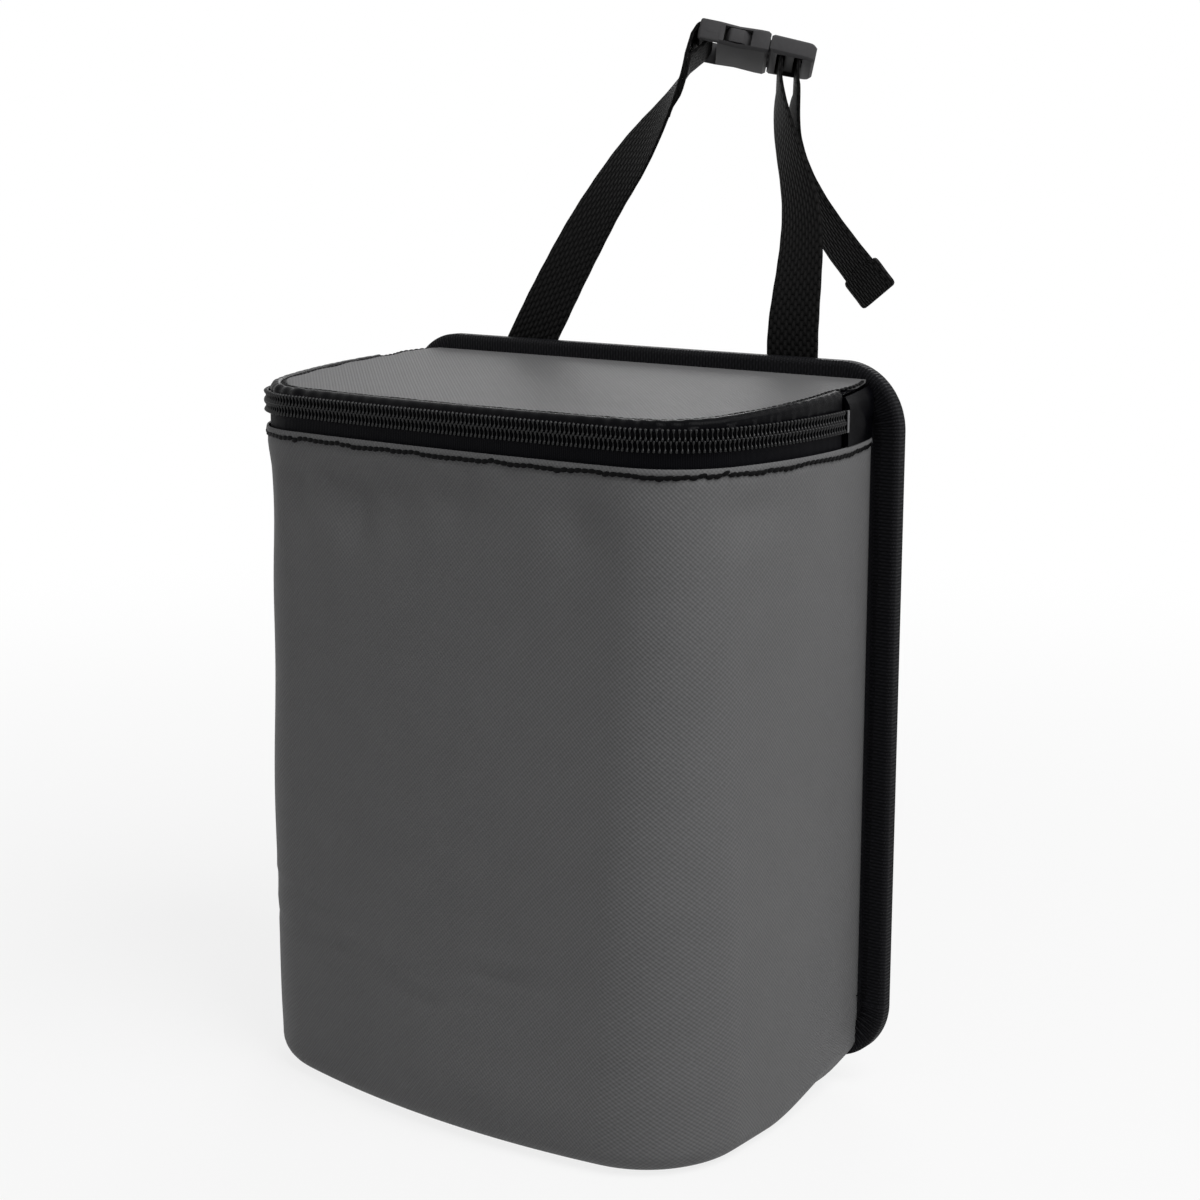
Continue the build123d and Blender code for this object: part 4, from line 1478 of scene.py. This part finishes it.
for title, foot in (("left", left_foot), ("right", right_foot)):
    dress(box_seam(title, *foot), thread_black, None, "bag")

# %% [markdown]
# ## Moulded and cast pieces
# The buckle halves, the slider, its pull and the end stop already have their shape in the engineering
# model, but its edges are sharp. A copy of each is merged, its flat faces are made whole again, and a
# small bevel rounds the edges as moulding and casting do. The socket also gets full-height rails beside
# its bar. The bottom board and the lid's foam are copied in the same way.


# %% Rounded copies
def round_edges(piece, round_by, steps):
    """Rounds the edges that turn by more than 30 degrees; round_by is in millimetres."""
    sharp = radians(30)
    modify(
        piece, "BEVEL", width=round_by * mm, segments=steps, limit_method="ANGLE", angle_limit=sharp
    )


def rounded_copy(node, name, round_by, steps=2):
    piece = bpy.data.objects.new(name, frame["nodes"][node].data.copy())
    bpy.context.scene.collection.objects.link(piece)
    weld(piece, 0.005)
    with edited(piece):
        bpy.ops.mesh.dissolve_limited(angle_limit=radians(1.5))
    round_edges(piece, round_by, steps)
    smooth(piece, 40)
    return piece


def buckle_rail(side):
    """The full-height side of the frame round the socket's bar."""
    middle, aside = -18.6, side * 14.2
    length, width, height = 9.6, 2.5, 9.2
    let_go()
    bpy.ops.mesh.primitive_cube_add(size=1)
    rail = bpy.context.object
    rail.name = "buckle_rail"
    for vertex in rail.data.vertices:
        x, y, z = vertex.co
        vertex.co = Vector(in_buckle(middle + length * x, height * z, aside + width * y)) * mm
    with edited(rail):
        bpy.ops.mesh.normals_make_consistent(inside=False)
    round_edges(rail, 1.1, 3)
    return rail


socket = rounded_copy("buckle_female", "buckle_socket", 0.45)
join(socket, buckle_rail(1), buckle_rail(-1))
smooth(socket, 40)
dress(socket, buckle_plastic, "buckle", "bag", "buckle_female")
copies = [
    ("buckle_male", "buckle_prong", 0.45, buckle_plastic, "buckle", "male_half"),
    ("zipper_slider", "slider_body", 0.25, painted_metal, "slider_metal", "slider"),
    ("zipper_pull", "slider_pull", 0.3, painted_metal, "slider_metal", "pull"),
    ("zipper_end_stop", "end_stop", 0.25, bright_metal, "bright_metal", "bag"),
]
for node, name, round_by, finish, slot, rides_on in copies:
    dress(rounded_copy(node, name, round_by), finish, slot, rides_on, node)
seeds = [piece for piece in bpy.data.objects if piece.name.startswith("Sphere")]
for seed in seeds:
    bpy.data.objects.remove(seed)
print(len(copies) + 1, "rounded copies;", len(seeds), "seeds of stitches and teeth removed")

# %% Boards and foam inside
base_board = rounded_copy("bottom_board", "base_board", 0.2, 1)
for vertex in base_board.data.vertices:
    vertex.co = Vector(tucked(vertex.co / mm)) * mm
dress(base_board, board_grey, "board", "bag", "bottom_board")
lid_padding = rounded_copy("lid_foam", "lid_padding", 0.6)
dress(lid_padding, foam_white, "foam", "lid", "lid_foam")
frame["nodes"]["back_board"].data.materials.clear()
frame["nodes"]["back_board"].data.materials.append(board_grey)

# %% [markdown]
# ## Studio
# The bin stands on a white floor in soft light: a large lamp high on the right, a weak one in front, one
# behind for the black rear and a pale surround. The floor is white to the camera and keeps a soft shadow.

# %% Floor, light and camera
let_go()
bpy.ops.mesh.primitive_plane_add(size=12, location=(0, 0, -0.0006))
ground = bpy.context.object
ground.name = "studio_floor"
floor_finish = bpy.data.materials.new("floor_white")
floor_finish.use_nodes = True
floor_wire = Wire(floor_finish.node_tree)
floor_shader = floor_finish.node_tree.nodes["Principled BSDF"]
floor_shader.inputs["Roughness"].default_value = 0.9
floor_shader.inputs["Specular IOR Level"].default_value = 0.1


def seen_ray(wire):
    """1 for what the camera sees, straight, mirrored or through glass."""
    straight = wire.node("LightPath", {}, {}, out="Is Camera Ray")
    mirrored = wire.node("LightPath", {}, {}, out="Is Glossy Ray")
    through = wire.node("LightPath", {}, {}, out="Is Transmission Ray")
    return straight.math("MINIMUM", straight + mirrored + through, 1.0)


seen = seen_ray(floor_wire)
floor_tone = seen.blend((0.75, 0.75, 0.75, 1), (0.9, 0.9, 0.9, 1))
floor_wire.feed(floor_shader.inputs["Base Color"], floor_tone)
floor_glow = floor_wire.node("Emission", {}, {"Color": (1, 1, 1, 1), "Strength": 1.0})
floor_place = floor_wire.node("TexCoord", {}, {}, out="Object")
floor_reach = floor_wire.node("VectorMath", {"operation": "LENGTH"}, {0: floor_place}, out="Value")
floor_fade = {"Value": floor_reach, "From Min": 0.25, "From Max": 1.3}
floor_far = floor_wire.node("MapRange", {"interpolation_type": "SMOOTHSTEP"}, floor_fade)
floor_plain = Wire(floor_finish.node_tree, floor_shader.outputs[0])
floor_share = seen * (0.82 + 0.18 * floor_far)
floor_mix = floor_wire.node("MixShader", {}, {0: floor_share, 1: floor_plain, 2: floor_glow})
floor_wire.feed(floor_finish.node_tree.nodes["Material Output"].inputs["Surface"], floor_mix)
ground.data.materials.append(floor_finish)

world = bpy.data.worlds.new("studio")
bpy.context.scene.world = world
world.use_nodes = True
air = Wire(world.node_tree)
background = world.node_tree.nodes["Background"]
background.inputs["Color"].default_value = (1, 1, 1, 1)
air.feed(background.inputs["Strength"], 0.2 + 0.8 * seen_ray(air))


def soft_lamp(name, place, target, size, power):
    light = bpy.data.lights.new(name, "AREA")
    light.size = size
    light.energy = power
    lamp = bpy.data.objects.new(name, light)
    bpy.context.scene.collection.objects.link(lamp)
    lamp.location = place
    lamp.rotation_euler = (Vector(target) - Vector(place)).to_track_quat("-Z", "Y").to_euler()


soft_lamp("key_right", (1.19, -0.21, 1.73), (0, 0, 0.2), 1.1, 27.1)
soft_lamp("fill_front", (0.4, -1.8, 0.9), (0, 0, 0.2), 0.9, 0.8)
soft_lamp("fill_rear", (-0.9, 1.7, 0.9), (0, 0, 0.2), 1.0, 9)

camera_data = bpy.data.cameras.new("photo_camera")
camera_data.lens = 67.5
camera_data.sensor_width = 36.0
camera = bpy.data.objects.new("photo_camera", camera_data)
bpy.context.scene.collection.objects.link(camera)
camera.location = (0.5815, -0.7302, 0.4083)
aim = Vector((0.03948, -0.00725, 0.2190)) - camera.location
camera.rotation_euler = aim.to_track_quat("-Z", "Y").to_euler()
bpy.context.scene.camera = camera
bpy.context.scene.view_settings.view_transform = "Standard"

# %% [markdown]
# ## Cloth as it was cut
# Cloth hardly stretches, so each sheet's UV map keeps the flat size that it was cut to, in metres.

# %% Sheets and pads
print("cloth sheets keep their flat size in their UV maps")
